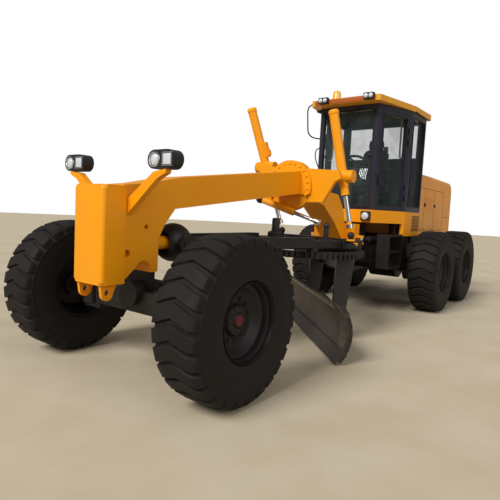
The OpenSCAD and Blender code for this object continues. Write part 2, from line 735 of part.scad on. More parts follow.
module art_barrel(s) color(steel_black) on_side(s) {
    translate([art_base.x, art_base.y, art_base.z - art_eye_t / 2]) difference() {
        cylinder(h = art_eye_t, r = 50);
        translate([0, 0, -1]) cylinder(h = art_eye_t + 2, r = base_r + pin_gap);
    }
    on_art_line(1) difference() {
        translate([0, 0, 49]) cylinder(h = barrel_len, d = art_barrel_d);
        translate([0, 0, 90]) cylinder(h = barrel_len, d = art_rod_d + 2 * pin_gap);
    }
}
module art_barrel_left() art_barrel(1);
module art_barrel_right() art_barrel(-1);

module art_rod(s) color(chrome) on_side(s) {
    translate([art_eye.x, art_eye.y, art_eye.z - art_eye_t / 2]) cylinder(h = art_eye_t, r = 46);
    on_art_line(1) translate([0, 0, 330]) cylinder(h = art_span - 340, d = art_rod_d);
}
module art_rod_left() art_rod(1);
module art_rod_right() art_rod(-1);

// Engine, hood and exhaust
cab_x = [leg_x - 320, leg_x - 1100, leg_x - 1815];
hood_x = [tail_x + 15, cab_x[2] - 60];
hood_z = 1250;
exhaust_at = [tandem_x - 250, -260];
engine_z = rail_z[1] - 60;

module engine() color("#4a4a4c")
    block(hood_x[0] + 760, tandem_x + 150, rails_w - 2 * rail_t - 60, engine_z + fit_gap, hood_top - 260);

module hood_side_outline(d) offset(-d) hull() {
    translate([hood_x[0], hood_z]) square([10, 10]);
    translate([hood_x[1] - 10, hood_z]) square([10, hood_top - hood_z]);
    translate([exhaust_at.x - 180, hood_z]) square([10, hood_top - hood_z]);
    translate([hood_x[0] + 260, hood_top - 280]) circle(240);
}
module hood_front_outline(d) offset(-d) hull() {
    translate([-hood_w / 2, hood_z]) square([hood_w, 10]);
    for (s = [-1, 1]) translate([s * (hood_w / 2 - 90), hood_top - 90]) circle(90);
}
module hood_form(d) intersection() {
    side_prism(hood_w) hood_side_outline(d);
    front_prism(hood_x[1] - hood_x[0] + 20, hood_x[0] - 10) hood_front_outline(d);
}

module hood() color(paint) difference() {
    hood_form(0);
    hood_form(hood_wall);
    // Open below, and behind for the grille
    block(hood_x[0] + hood_wall, hood_x[1] - hood_wall, hood_w - 2 * hood_wall, hood_z - 1, hood_z + 200);
    block(hood_x[0] - 1, hood_x[0] + 200, grille_w, hood_z + 60, hood_top - 380);
}

grille_w = 980;
grille_slats = 11;
module grille() color("#202022") difference() {
    block(hood_x[0] + 2, hood_x[0] + 60, grille_w - 2 * fit_gap, hood_z + 60 + fit_gap, hood_top - 380 - fit_gap);
    slot = (hood_top - hood_z - 520) / grille_slats;
    for (i = [0:grille_slats - 1])
        block(hood_x[0], hood_x[0] + 30, grille_w - 100, hood_z + 100 + i * slot, hood_z + 100 + (i + 0.62) * slot);
}

module exhaust() color("#303030") translate([exhaust_at.x, exhaust_at.y, hood_top + fit_gap]) {
    cylinder(h = 60, r = 105);
    cylinder(h = 420, r = 62);
}

// Cab: its plan, with the slanted doors between windscreen and rear quarters
module cab_plan(d = 0) offset(delta = -d) polygon([
    [cab_x[0], -cab_front_w / 2], [cab_x[0], cab_front_w / 2], [cab_x[1], cab_w / 2],
    [cab_x[2], cab_w / 2], [cab_x[2], -cab_w / 2], [cab_x[1], -cab_w / 2]]);

cab_z = floor_z + floor_h;
door_run = [cab_x[0] - cab_x[1], (cab_front_w - cab_w) / 2];
door_l = norm(door_run);
door_side = 70;
door_sill = 20;
door_head = 75;
door_gap = 5;
hinge_out = 18;
hinge_r = 14;
hinge_h = 90;
sash = 62;

// The left door's frame: origin at the rear pillar, +X along the door, +Y out
module on_door(s) on_side(s) translate([cab_x[1], cab_w / 2, 0]) rotate([0, 0, atan2(door_run.y, door_run.x)]) children();

module door_panel(gap, y0, y1) translate([door_side + gap, y0, cab_z + door_sill + gap])
    cube([door_l - 2 * (door_side + gap), y1 - y0, roof_z - cab_z - door_sill - door_head - 2 * gap]);

module door_window(gap, y0, y1) door_panel(door_gap + sash + gap, y0, y1);

module hinge_knuckle(z, h, r) translate([door_side, hinge_out, z]) cylinder(h = h, r = r);
hinge_zs = [cab_z + 250, cab_z + 1150];

module cab_floor() color(paint) {
    translate([0, 0, floor_z]) linear_extrude(floor_h - fit_gap) cab_plan();
    for (s = [-1, 1]) block(cab_x[2], cab_x[1] + 60, cab_wall, floor_z - 200, floor_z + 10, s * (cab_w - cab_wall) / 2);
}

module quarter_window(gap, y0, y1) translate([cab_x[2] + 75 + gap, y0, cab_z + 100 + gap])
    cube([cab_x[1] - cab_x[2] - 150 - 2 * gap, y1 - y0, roof_z - cab_z - 200 - 2 * gap]);
module front_window(gap, x0, x1)
    block(x0, x1, cab_front_w - 2 * (75 + gap), cab_z + 60 + gap, roof_z - 90 - gap);
module rear_window(gap, x0, x1)
    block(x0, x1, cab_w - 2 * (120 + gap), cab_z + 950 + gap, roof_z - 100 - gap);

module cab_frame() color(cab_blue) {
    difference() {
        translate([0, 0, cab_z]) linear_extrude(roof_z - cab_z) difference() {
            cab_plan();
            cab_plan(cab_wall);
        }
        front_window(0, cab_x[0] - 100, cab_x[0] + 100);
        rear_window(0, cab_x[2] - 100, cab_x[2] + 100);
        for (s = [-1, 1]) {
            on_side(s) translate([0, cab_w / 2, 0]) quarter_window(0, -100, 100);
            on_door(s) door_panel(0, -120, 100);
        }
    }
    for (s = [-1, 1]) on_door(s) for (z = hinge_zs) for (d = [-1, 1]) {
        hinge_knuckle(z + d * (hinge_h + 2 * seat_gap) , hinge_h, hinge_r);
        translate([door_side - 45, -10, z + d * (hinge_h + 2 * seat_gap)]) cube([45, hinge_out + 10, hinge_h]);
    }
}

module pane_solid() {
    front_window(fit_gap, cab_x[0] - 40, cab_x[0] - 40 + glass_t);
    rear_window(fit_gap, cab_x[2] + 30, cab_x[2] + 30 + glass_t);
    for (s = [-1, 1]) on_side(s) translate([0, cab_w / 2, 0]) quarter_window(fit_gap, -40, -40 + glass_t);
}
module cab_glass() color("#9fb4b4", 0.4) pane_solid();

module door(s) color(cab_blue) on_door(s) {
    difference() {
        door_panel(door_gap, -cab_wall, 0);
        door_window(0, -cab_wall - 1, 1);
    }
    for (z = hinge_zs) {
        hinge_knuckle(z + seat_gap, hinge_h - 2 * seat_gap + 1, hinge_r);
        translate([door_side, -5, z + seat_gap]) cube([60, hinge_out + 5, hinge_h - 2 * seat_gap + 1]);
    }
}
module door_left() door(1);
module door_right() door(-1);
module door_glass(s) color("#9fb4b4", 0.4) on_door(s) door_window(fit_gap, -40, -40 + glass_t);
module door_glass_left() door_glass(1);
module door_glass_right() door_glass(-1);

module roof() color(paint) {
    translate([0, 0, roof_z + fit_gap]) linear_extrude(roof_t) rounded(60) polygon([
        [leg_x - 124, -cab_front_w / 2 - 79], [leg_x - 124, cab_front_w / 2 + 79], [leg_x - 1148, cab_w / 2 + 25],
        [leg_x - 1970, cab_w / 2 + 40], [leg_x - 1970, -cab_w / 2 - 40], [leg_x - 1148, -cab_w / 2 - 25]]);
    translate([0, 0, roof_z + roof_t]) linear_extrude(30) rounded(60) polygon([
        [leg_x - 260, -430], [leg_x - 260, 430], [leg_x - 1750, 600], [leg_x - 1750, -600]]);
}

module roof_lamps() color("#18181a") {
    for (y = [-330, 420]) block(leg_x - 124 + fit_gap, leg_x - 40, 150, roof_z + 15, roof_z + 105, y);
    translate([leg_x - 420, -280, roof_z + roof_t + 30 + fit_gap]) cylinder(h = 110, r = 55);
}

seat_x = cab_x[1] - 180;
module seat() color("#222226") {
    translate([seat_x, 0, cab_z]) cylinder(h = 400, r = 120);
    block(seat_x - 240, seat_x + 260, 500, cab_z + 380, cab_z + 520);
    block(seat_x - 300, seat_x - 180, 480, cab_z + 500, cab_z + 1080);
    block(seat_x - 290, seat_x - 210, 260, cab_z + 1070, cab_z + 1260);
}

wheel_at = [seat_x + 520, 0, cab_z + 760];
module console() color("#202024") {
    block(wheel_at.x + 170, wheel_at.x + 350, 180, cab_z, cab_z + 500);
    translate(wheel_at) rotate([0, -35, 0]) {
        translate([0, 0, -420]) cylinder(h = 380, r = 38);
        translate([0, 0, -50]) cylinder(h = 55, r = 45);
        difference() {
            translate([0, 0, -12]) cylinder(h = 28, r = 205);
            translate([0, 0, -13]) cylinder(h = 30, r = 175);
        }
        for (a = [90, 210, 330]) rotate([0, 0, a]) translate([20, -14, -8]) cube([165, 28, 18]);
    }
}

step_x = [leg_x - 1000, leg_x - 450];
step_zs = [780, 1025, 1270];
module steps() color(steel_black) for (s = [-1, 1]) on_side(s) {
    for (z = step_zs) block(step_x[0], step_x[1], 200, z - 30, z, cab_w / 2 - 90);
    for (x = step_x) block(x - 10, x + 10, 200, step_zs[0] - 40, step_zs[2] + 10, cab_w / 2 - 90);
    // Hanger up to the cab floor
    block(step_x[0] - 10, step_x[0] + 60, 60, step_zs[2] - 10, floor_z - fit_gap, cab_w / 2 - 140);
}

front_frame();
headlamps();
front_axle();
saddle();
knuckle_left();
knuckle_right();
tie_rod();
tyre_front_left();
tyre_front_right();
rim_front_left();
rim_front_right();
lift_barrel_left();
lift_barrel_right();
lift_rod_left();
lift_rod_right();
centre_ball();
centre_barrel();
centre_rod();
drawbar_cup();
drawbar();
circle_ring();
blade_carrier();
moldboard();
shift_rod();
rear_frame();
tandems();
art_barrel_left();
art_barrel_right();
art_rod_left();
art_rod_right();
tyre_mid_left();
tyre_mid_right();
tyre_rear_left();
tyre_rear_right();
rim_mid_left();
rim_mid_right();
rim_rear_left();
rim_rear_right();
engine();
hood();
grille();
exhaust();
cab_floor();
cab_frame();
cab_glass();
roof();
roof_lamps();
door_left();
door_right();
door_glass_left();
door_glass_right();
seat();
console();
steps();
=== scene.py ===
import math
import bmesh
import bpy
from mathutils import Matrix, Vector

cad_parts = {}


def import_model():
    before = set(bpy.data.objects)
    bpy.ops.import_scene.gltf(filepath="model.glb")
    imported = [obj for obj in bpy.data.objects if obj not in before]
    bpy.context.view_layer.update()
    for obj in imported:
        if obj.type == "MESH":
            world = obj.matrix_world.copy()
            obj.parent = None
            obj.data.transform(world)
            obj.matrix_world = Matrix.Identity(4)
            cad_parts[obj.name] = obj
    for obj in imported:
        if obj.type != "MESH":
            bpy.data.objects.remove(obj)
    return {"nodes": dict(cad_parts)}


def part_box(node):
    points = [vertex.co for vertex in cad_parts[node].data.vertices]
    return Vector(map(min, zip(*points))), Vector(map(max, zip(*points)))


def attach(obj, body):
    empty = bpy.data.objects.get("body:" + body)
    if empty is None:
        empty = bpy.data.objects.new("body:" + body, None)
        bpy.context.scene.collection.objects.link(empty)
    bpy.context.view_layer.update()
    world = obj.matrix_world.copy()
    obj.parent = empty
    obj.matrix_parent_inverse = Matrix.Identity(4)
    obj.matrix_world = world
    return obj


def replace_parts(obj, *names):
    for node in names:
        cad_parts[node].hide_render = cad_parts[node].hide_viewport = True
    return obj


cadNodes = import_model()["nodes"]
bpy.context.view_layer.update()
print("stage: frame loaded")

# camera and light, placed from the photograph

view = {
    "place": (6.6858, 3.3471, 1.5225),
    "yaw": 217.73,
    "pitch": -4.75,
    "roll": 2.79,
    "lens": 33.86,
    "shiftX": 0.0234,
    "shiftY": 0.0014,
}

light = {
    "keyPower": 3.05,
    "keySoft": 24,
    "keyPlace": (12.5, -1.5, 11),
    "fillPower": 0.9,
    "fillSoft": 50,
    "fillPlace": (3, 14, 8),
    "skyLevel": 0.27,
}


def newObject(name, data):
    obj = bpy.data.objects.new(name, data)
    bpy.context.scene.collection.objects.link(obj)
    return obj


def addNode(tree, kind, **settings):
    made = tree.nodes.new(kind)
    for key, value in settings.items():
        setattr(made, key, value)
    return made


def setCamera(v):
    yaw, pitch, roll = (math.radians(v[k]) for k in ("yaw", "pitch", "roll"))
    flat = math.cos(pitch)
    look = Vector((flat * math.cos(yaw), flat * math.sin(yaw), math.sin(pitch)))
    right = look.cross(Vector((0, 0, 1))).normalized()
    up = right.cross(look)
    rolledRight = right * math.cos(roll) + up * math.sin(roll)
    rolledUp = up * math.cos(roll) - right * math.sin(roll)
    data = bpy.data.cameras.new("camera")
    data.lens = v["lens"]
    data.sensor_width = 36
    data.shift_x = v["shiftX"]
    data.shift_y = v["shiftY"]
    data.clip_end = 400
    cam = newObject("camera", data)
    axes = Matrix((rolledRight, rolledUp, -look)).transposed().to_4x4()
    cam.matrix_world = Matrix.Translation(v["place"]) @ axes
    bpy.context.scene.camera = cam


def softSun(name, place, power, soft):
    data = bpy.data.lights.new(name, "SUN")
    data.energy = power
    data.angle = math.radians(soft)
    lamp = newObject(name, data)
    lamp.location = place
    lamp.rotation_euler = (-Vector(place)).to_track_quat("-Z", "Y").to_euler()


def skyBackground(level):
    # white where the camera looks at it, straight or through glass, and dim as a light
    world = bpy.context.scene.world or bpy.data.worlds.new("sky")
    bpy.context.scene.world = world
    world.use_nodes = True
    tree = world.node_tree
    tree.nodes.clear()
    out = addNode(tree, "ShaderNodeOutputWorld")
    path = addNode(tree, "ShaderNodeLightPath")
    either = addNode(tree, "ShaderNodeMath", operation="MAXIMUM")
    mix = addNode(tree, "ShaderNodeMixShader")
    for slot, strength in ((1, level), (2, 1)):
        shade = addNode(tree, "ShaderNodeBackground")
        shade.inputs["Color"].default_value = (1, 1, 1, 1)
        shade.inputs["Strength"].default_value = strength
        tree.links.new(shade.outputs[0], mix.inputs[slot])
    tree.links.new(path.outputs["Is Camera Ray"], either.inputs[0])
    tree.links.new(path.outputs["Is Transmission Ray"], either.inputs[1])
    tree.links.new(either.outputs[0], mix.inputs[0])
    tree.links.new(mix.outputs[0], out.inputs["Surface"])


bpy.context.scene.view_settings.view_transform = "Standard"
setCamera(view)
softSun("keyLight", light["keyPlace"], light["keyPower"], light["keySoft"])
softSun("fillLight", light["fillPlace"], light["fillPower"], light["fillSoft"])
skyBackground(light["skyLevel"])
print("stage: camera and light")

# shader nodes and the dust group that the finishes share


def feed(tree, socket, value):
    # a number or a colour is set on the socket, an output is linked to it
    if isinstance(value, tuple):
        socket.default_value = (*value[:3], 1)
    elif isinstance(value, (int, float)):
        socket.default_value = value
    else:
        tree.links.new(value, socket)


def objectCoords(tree):
    return addNode(tree, "ShaderNodeTexCoord").outputs["Object"]


def noiseAt(tree, coords, scale, detail, rough):
    noise = addNode(tree, "ShaderNodeTexNoise")
    for key, value in (("Vector", coords), ("Scale", scale), ("Detail", detail), ("Roughness", rough)):
        feed(tree, noise.inputs[key], value)
    return noise.outputs["Fac"]


def mathNode(tree, operation, a, b, clamp=False):
    made = addNode(tree, "ShaderNodeMath", operation=operation, use_clamp=clamp)
    feed(tree, made.inputs[0], a)
    feed(tree, made.inputs[1], b)
    return made.outputs[0]


def rangeNode(tree, value, low, high, toLow=0.0, toHigh=1.0):
    made = addNode(tree, "ShaderNodeMapRange", interpolation_type="SMOOTHSTEP")
    rows = (("Value", value), ("From Min", low), ("From Max", high), ("To Min", toLow), ("To Max", toHigh))
    for key, number in rows:
        feed(tree, made.inputs[key], number)
    return made.outputs["Result"]


def mixColour(tree, factor, a, b):
    made = addNode(tree, "ShaderNodeMix", data_type="RGBA")
    for slot, value in ((0, factor), (6, a), (7, b)):
        feed(tree, made.inputs[slot], value)
    return made.outputs[2]


def splitAxes(tree, vector):
    parts = addNode(tree, "ShaderNodeSeparateXYZ")
    tree.links.new(vector, parts.inputs[0])
    return parts.outputs


dustLook = {"patchScale": 1.7, "lowShare": 0.75, "topShare": 0.22, "patchShare": 0.45}


def dustGroup(d):
    # dust lies thicker low down, on faces that look up, and in patches
    tree = bpy.data.node_groups.new("siteDust", "ShaderNodeTree")
    for label in ("Base", "Dust"):
        tree.interface.new_socket(label, in_out="INPUT", socket_type="NodeSocketColor")
    for label in ("Amount", "Reach", "Grain"):
        tree.interface.new_socket(label, in_out="INPUT", socket_type="NodeSocketFloat")
    for label, kind in (("Color", "Color"), ("Mask", "Float"), ("Height", "Float")):
        tree.interface.new_socket(label, in_out="OUTPUT", socket_type="NodeSocket" + kind)
    start = addNode(tree, "NodeGroupInput").outputs
    end = addNode(tree, "NodeGroupOutput").inputs
    coords = objectCoords(tree)
    patches = noiseAt(tree, coords, d["patchScale"], 4, 0.6)
    fine = noiseAt(tree, coords, start["Grain"], 5, 0.65)
    low = mathNode(tree, "DIVIDE", splitAxes(tree, coords)["Z"], start["Reach"])
    low = mathNode(tree, "SUBTRACT", 1.0, low, clamp=True)
    low = mathNode(tree, "MULTIPLY", low, d["lowShare"])
    upward = splitAxes(tree, addNode(tree, "ShaderNodeNewGeometry").outputs["Normal"])["Z"]
    top = mathNode(tree, "MULTIPLY", rangeNode(tree, upward, 0.3, 1.0), d["topShare"])
    total = mathNode(tree, "ADD", low, top)
    total = mathNode(tree, "ADD", total, mathNode(tree, "MULTIPLY", patches, d["patchShare"]))
    total = mathNode(tree, "MULTIPLY", total, rangeNode(tree, fine, 0.3, 0.75, 0.45, 1.15))
    mask = mathNode(tree, "MULTIPLY", total, start["Amount"], clamp=True)
    tree.links.new(mixColour(tree, mask, start["Base"], start["Dust"]), end["Color"])
    tree.links.new(mask, end["Mask"])
    tree.links.new(fine, end["Height"])
    return tree


dustTree = dustGroup(dustLook)


def newMaterial(name):
    mat = bpy.data.materials.new(name)
    mat.use_nodes = True
    return mat, mat.node_tree, mat.node_tree.nodes["Principled BSDF"].inputs


def makeFinish(name, colour, rough=0.5, metal=0.0, dust=0.3, reach=1.2, grain=9.0, bump=0.1,
               second=None, coat=0.0, dustColour=(0.42, 0.34, 0.25), streak=None, shine=0.3):
    mat, tree, surface = newMaterial(name)
    coords = objectCoords(tree)
    if streak:
        stretch = addNode(tree, "ShaderNodeMapping")
        stretch.inputs["Scale"].default_value = streak
        tree.links.new(coords, stretch.inputs["Vector"])
        coords = stretch.outputs[0]
    mottle = noiseAt(tree, coords, grain * 0.35, 4, 0.6)
    base = mixColour(tree, rangeNode(tree, mottle, 0.15, 0.85), colour, second or colour)
    group = addNode(tree, "ShaderNodeGroup", node_tree=dustTree)
    rows = (("Base", base), ("Dust", dustColour), ("Amount", dust), ("Reach", reach), ("Grain", grain))
    for key, value in rows:
        feed(tree, group.inputs[key], value)
    dulled = mathNode(tree, "MULTIPLY", group.outputs["Mask"], 0.35)
    spread = rangeNode(tree, mottle, 0.2, 0.8, rough - 0.06, rough + 0.06)
    bumper = addNode(tree, "ShaderNodeBump")
    for key, value in (("Strength", bump), ("Distance", 0.004), ("Height", group.outputs["Height"])):
        feed(tree, bumper.inputs[key], value)
    settings = (
        ("Base Color", group.outputs["Color"]),
        ("Roughness", mathNode(tree, "ADD", dulled, spread, clamp=True)),
        ("Metallic", metal),
        ("Specular IOR Level", shine),
        ("Coat Weight", coat),
        ("Coat Roughness", 0.12),
        ("Normal", bumper.outputs[0]),
    )
    for key, value in settings:
        feed(tree, surface[key], value)
    return mat


def makeGlass(name, tint, alpha):
    mat, tree, surface = newMaterial(name)
    film = noiseAt(tree, objectCoords(tree), 2.2, 4, 0.6)
    feed(tree, surface["Base Color"], tint)
    feed(tree, surface["Roughness"], rangeNode(tree, film, 0.35, 0.75, 0.02, 0.16))
    feed(tree, surface["Alpha"], rangeNode(tree, film, 0.3, 0.8, alpha - 0.05, alpha + 0.08))
    return mat


finishes = {
    "paint": makeFinish("gradedPaint", (0.88, 0.33, 0.002), 0.4, dust=0.03, reach=1.3, grain=6, bump=0.04,
                        second=(0.84, 0.305, 0.0015), coat=0.08, shine=0.25),
    "hoodPaint": makeFinish("hoodPaint", (0.82, 0.35, 0.055), 0.42, dust=0.06, reach=1.8, grain=5,
                            bump=0.04, second=(0.76, 0.31, 0.04), coat=0.1),
    "roofPaint": makeFinish("roofPaint", (0.84, 0.4, 0.03), 0.42, dust=0.05, reach=1.0, grain=5,
                            bump=0.04, second=(0.7, 0.3, 0.02), coat=0.15),
    # the roof's front fascia: the orange paint darkened to a brown, painted shade under the roof's overhang
    "shadedFasciaPaint": makeFinish("shadedFasciaPaint", (0.42, 0.1, 0.008), 0.4, dust=0.04, grain=7, bump=0.04,
                              second=(0.36, 0.085, 0.006)),
    "blackSteel": makeFinish("frameBlack", (0.008, 0.0075, 0.008), 0.42, dust=0.045, reach=1.3, grain=12,
                             bump=0.2, second=(0.014, 0.012, 0.012)),
    "chrome": makeFinish("rodChrome", (0.72, 0.73, 0.75), 0.14, 1.0, dust=0.04, grain=20, bump=0.03,
                         second=(0.62, 0.63, 0.66)),
    "rubber": makeFinish("tyreRubber", (0.0055, 0.005, 0.005), 0.68, dust=0.06, reach=1.9, grain=14,
                         bump=0.4, second=(0.011, 0.009, 0.008), dustColour=(0.12, 0.09, 0.07), shine=0.2),
    "rim": makeFinish("rimPaint", (0.005, 0.004, 0.004), 0.5, dust=0.05, reach=1.6, grain=11, bump=0.2,
                      second=(0.014, 0.011, 0.0105), dustColour=(0.13, 0.1, 0.08)),
    "hubRed": makeFinish("hubRed", (0.13, 0.004, 0.012), 0.45, dust=0.1, reach=1.4, grain=12,
                         dustColour=(0.16, 0.12, 0.09)),
    "blade": makeFinish("bladeSteel", (0.04, 0.031, 0.028), 0.44, 0.6, dust=0.24, reach=0.8, grain=7,
                        bump=0.3, second=(0.075, 0.058, 0.05), dustColour=(0.17, 0.13, 0.105),
                        streak=(1, 1, 5)),
    "wornSteel": makeFinish("wornSteel", (0.075, 0.06, 0.052), 0.34, 0.7, dust=0.16, reach=0.6, bump=0.25),
    "paleSteel": makeFinish("paleSteel", (0.28, 0.25, 0.21), 0.4, 0.5, dust=0.2, grain=16, bump=0.2,
                            second=(0.36, 0.33, 0.28)),
    "iron": makeFinish("engineIron", (0.05, 0.05, 0.05), 0.6, 0.2, dust=0.2, grain=10, bump=0.4),
    "cab": makeFinish("cabPaint", (0.012, 0.013, 0.026), 0.36, dust=0.05, reach=2.0, grain=8, bump=0.06,
                      second=(0.016, 0.017, 0.032), coat=0.25),
    "plastic": makeFinish("mouldedPlastic", (0.013, 0.013, 0.015), 0.45, dust=0.08, reach=2.0, grain=30,
                          bump=0.25),
    "linerBlack": makeFinish("linerBlack", (0.006, 0.006, 0.007), 0.8, dust=0.0, grain=20),
    "rubberTrim": makeFinish("rubberTrim", (0.008, 0.008, 0.009), 0.6, dust=0.06, grain=24, bump=0.15),
    "seat": makeFinish("seatCloth", (0.022, 0.022, 0.027), 0.9, dust=0.06, grain=60, bump=0.5),
    "lens": makeFinish("lampLens", (0.62, 0.65, 0.68), 0.12, dust=0.08, grain=40, bump=0.2, coat=0.6),
    "tailRed": makeFinish("tailRed", (0.4, 0.008, 0.006), 0.25, dust=0.1, grain=20, bump=0.05, coat=0.4),
    "beacon": makeFinish("beaconLens", (0.9, 0.42, 0.02), 0.2, dust=0.05, grain=30, coat=0.5),
    "glass": makeGlass("cabGlass", (0.065, 0.1, 0.095), 0.17),
}

sides = ((1, "left"), (-1, "right"))
axles = ("front", "mid", "rear")

nodeFinish = {
    "paint": ("front_frame", "saddle", "lift_barrel_left", "lift_barrel_right", "centre_barrel", "cab_floor"),
    "hoodPaint": ("hood",),
    "roofPaint": ("roof",),
    "blackSteel": ("front_axle", "knuckle_left", "knuckle_right", "drawbar_cup", "drawbar", "circle_ring",
                   "blade_carrier", "rear_frame", "tandems", "art_barrel_left", "art_barrel_right",
                   "centre_ball", "steps", "grille", "exhaust"),
    "chrome": ("tie_rod", "lift_rod_left", "lift_rod_right", "centre_rod", "shift_rod",
               "art_rod_left", "art_rod_right"),
    "blade": ("moldboard",),
    "iron": ("engine",),
    "cab": ("cab_frame", "door_left", "door_right"),
    "glass": ("cab_glass", "door_glass_left", "door_glass_right"),
    "plastic": ("headlamps", "roof_lamps", "console"),
    "seat": ("seat",),
    "rubber": [f"tyre_{axle}_{word}" for axle in axles for _, word in sides],
    "rim": [f"rim_{axle}_{word}" for axle in axles for _, word in sides],
}
for key, names in nodeFinish.items():
    for name in names:
        cadNodes[name].data.materials.clear()
        cadNodes[name].data.materials.append(finishes[key])
print("stage: finishes on the packed nodes")

# shared ways of making a piece

mergeGap = 1e-5


def meshFrom(name, build):
    bm = bmesh.new()
    build(bm)
    bmesh.ops.remove_doubles(bm, verts=bm.verts, dist=mergeGap)
    bmesh.ops.recalc_face_normals(bm, faces=bm.faces)
    mesh = bpy.data.meshes.new(name)
    bm.to_mesh(mesh)
    bm.free()
    return mesh


def shadeSmooth(mesh, angle):
    for face in mesh.polygons:
        face.use_smooth = True
    mesh.set_sharp_from_angle(angle=math.radians(angle))


def addPiece(name, mesh, finish, body, smooth=None):
    if smooth:
        shadeSmooth(mesh, smooth)
    obj = newObject(name, mesh)
    mesh.materials.clear()
    mesh.materials.append(finishes[finish])
    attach(obj, body)
    return obj


def moveAll(bm, matrix, start=0):
    bm.verts.ensure_lookup_table()
    for v in bm.verts[start:]:
        v.co = matrix @ v.co


def shift(x, y, z):
    return Matrix.Translation((x, y, z))


def turn(degrees, axis):
    return Matrix.Rotation(math.radians(degrees), 4, axis)


def mirrored(side):
    return Matrix.Scale(side, 4, (0, 1, 0))


def facing(place, direction):
    # a frame at the place whose Z looks along the direction
    return Matrix.Translation(place) @ Vector(direction).to_track_quat("Z", "Y").to_matrix().to_4x4()


def turnedAbout(bm, profile, steps, matrix):
    # (radius, height) points turned about Z: a ring where the profile keeps off the axis at both ends
    rows = []
    for i in range(steps):
        a = 2 * math.pi * i / steps
        c, s = math.cos(a), math.sin(a)
        rows.append([bm.verts.new(matrix @ Vector((r * c, r * s, h))) for r, h in profile])
    count = len(profile)
    ring = profile[0][0] > 0 and profile[-1][0] > 0
    for a, b in zip(rows, rows[1:] + rows[:1]):
        for j in range(count if ring else count - 1):
            k = (j + 1) % count
            bm.faces.new((a[j], b[j], b[k], a[k]))


def blockAt(bm, low, high, bevel=0.004):
    made = bmesh.ops.create_cube(bm, size=1)["verts"]
    low, high = Vector(low), Vector(high)
    size = high - low
    for v in made:
        v.co = Vector(v.co[i] * size[i] for i in range(3)) + (low + high) / 2
    edges = {e for v in made for e in v.link_edges}
    bmesh.ops.bevel(bm, geom=list(edges), offset=min(bevel, min(size) * 0.3), segments=2,
                    affect="EDGES", profile=0.6)


def barLoop(bm, low, high, wide, deep, bevel=0.003):
    # four bars round an opening in the XZ plane, standing out along Y
    (x0, z0), (x1, z1) = low, high
    blockAt(bm, (x0 - wide, 0, z0 - wide), (x1 + wide, deep, z0), bevel)
    blockAt(bm, (x0 - wide, 0, z1), (x1 + wide, deep, z1 + wide), bevel)
    blockAt(bm, (x0 - wide, 0, z0), (x0, deep, z1), bevel)
    blockAt(bm, (x1, 0, z0), (x1 + wide, deep, z1), bevel)


def smoothPath(points, steps):
    pts = [Vector(p) for p in points]
    pts = [pts[0] * 2 - pts[1]] + pts + [pts[-1] * 2 - pts[-2]]
    out = []
    for a, b, c, d in zip(pts, pts[1:], pts[2:], pts[3:]):
        for k in range(steps):
            t = k / steps
            bend = (c - a) * t + (2 * a - 5 * b + 4 * c - d) * t * t + (3 * b - a - 3 * c + d) * t ** 3
            out.append(b + bend / 2)
    return out + [pts[-2]]


def tubeOn(bm, path, radius, sides):
    side = None
    rings = []
    for i, p in enumerate(path):
        along = (path[min(i + 1, len(path) - 1)] - path[max(i - 1, 0)]).normalized()
        side = side or along.orthogonal()
        side = (side - along * side.dot(along)).normalized()
        other = along.cross(side)
        rings.append([bm.verts.new(p + radius * (math.cos(a) * side + math.sin(a) * other))
                      for a in (2 * math.pi * k / sides for k in range(sides))])
    for a, b in zip(rings, rings[1:]):
        for k in range(sides):
            n = (k + 1) % sides
            bm.faces.new((a[k], a[n], b[n], b[k]))
    bm.faces.new(rings[0])
    bm.faces.new(rings[-1])


def turnedPiece(name, rows, finish, body, smooth=40, steps=32):
    # each row is a profile and the frame that it stands on
    def build(bm):
        for profile, place in rows:
            turnedAbout(bm, profile, steps, place)
    return addPiece(name, meshFrom(name, build), finish, body, smooth=smooth)


def blocksPiece(name, rows, finish, body, bevel=0.004):
    # each row is a block's lowest and highest corner
    def build(bm):
        for low, high in rows:
            blockAt(bm, low, high, bevel)
    return addPiece(name, meshFrom(name, build), finish, body, smooth=30)


def tubePiece(name, runs, radius, finish, body, steps=6, sides=10):
    def build(bm):
        for run in runs:
            tubeOn(bm, smoothPath(run, steps), radius, sides)
    return addPiece(name, meshFrom(name, build), finish, body, smooth=50)


# a node tree that sets copies of one piece round the Y axis

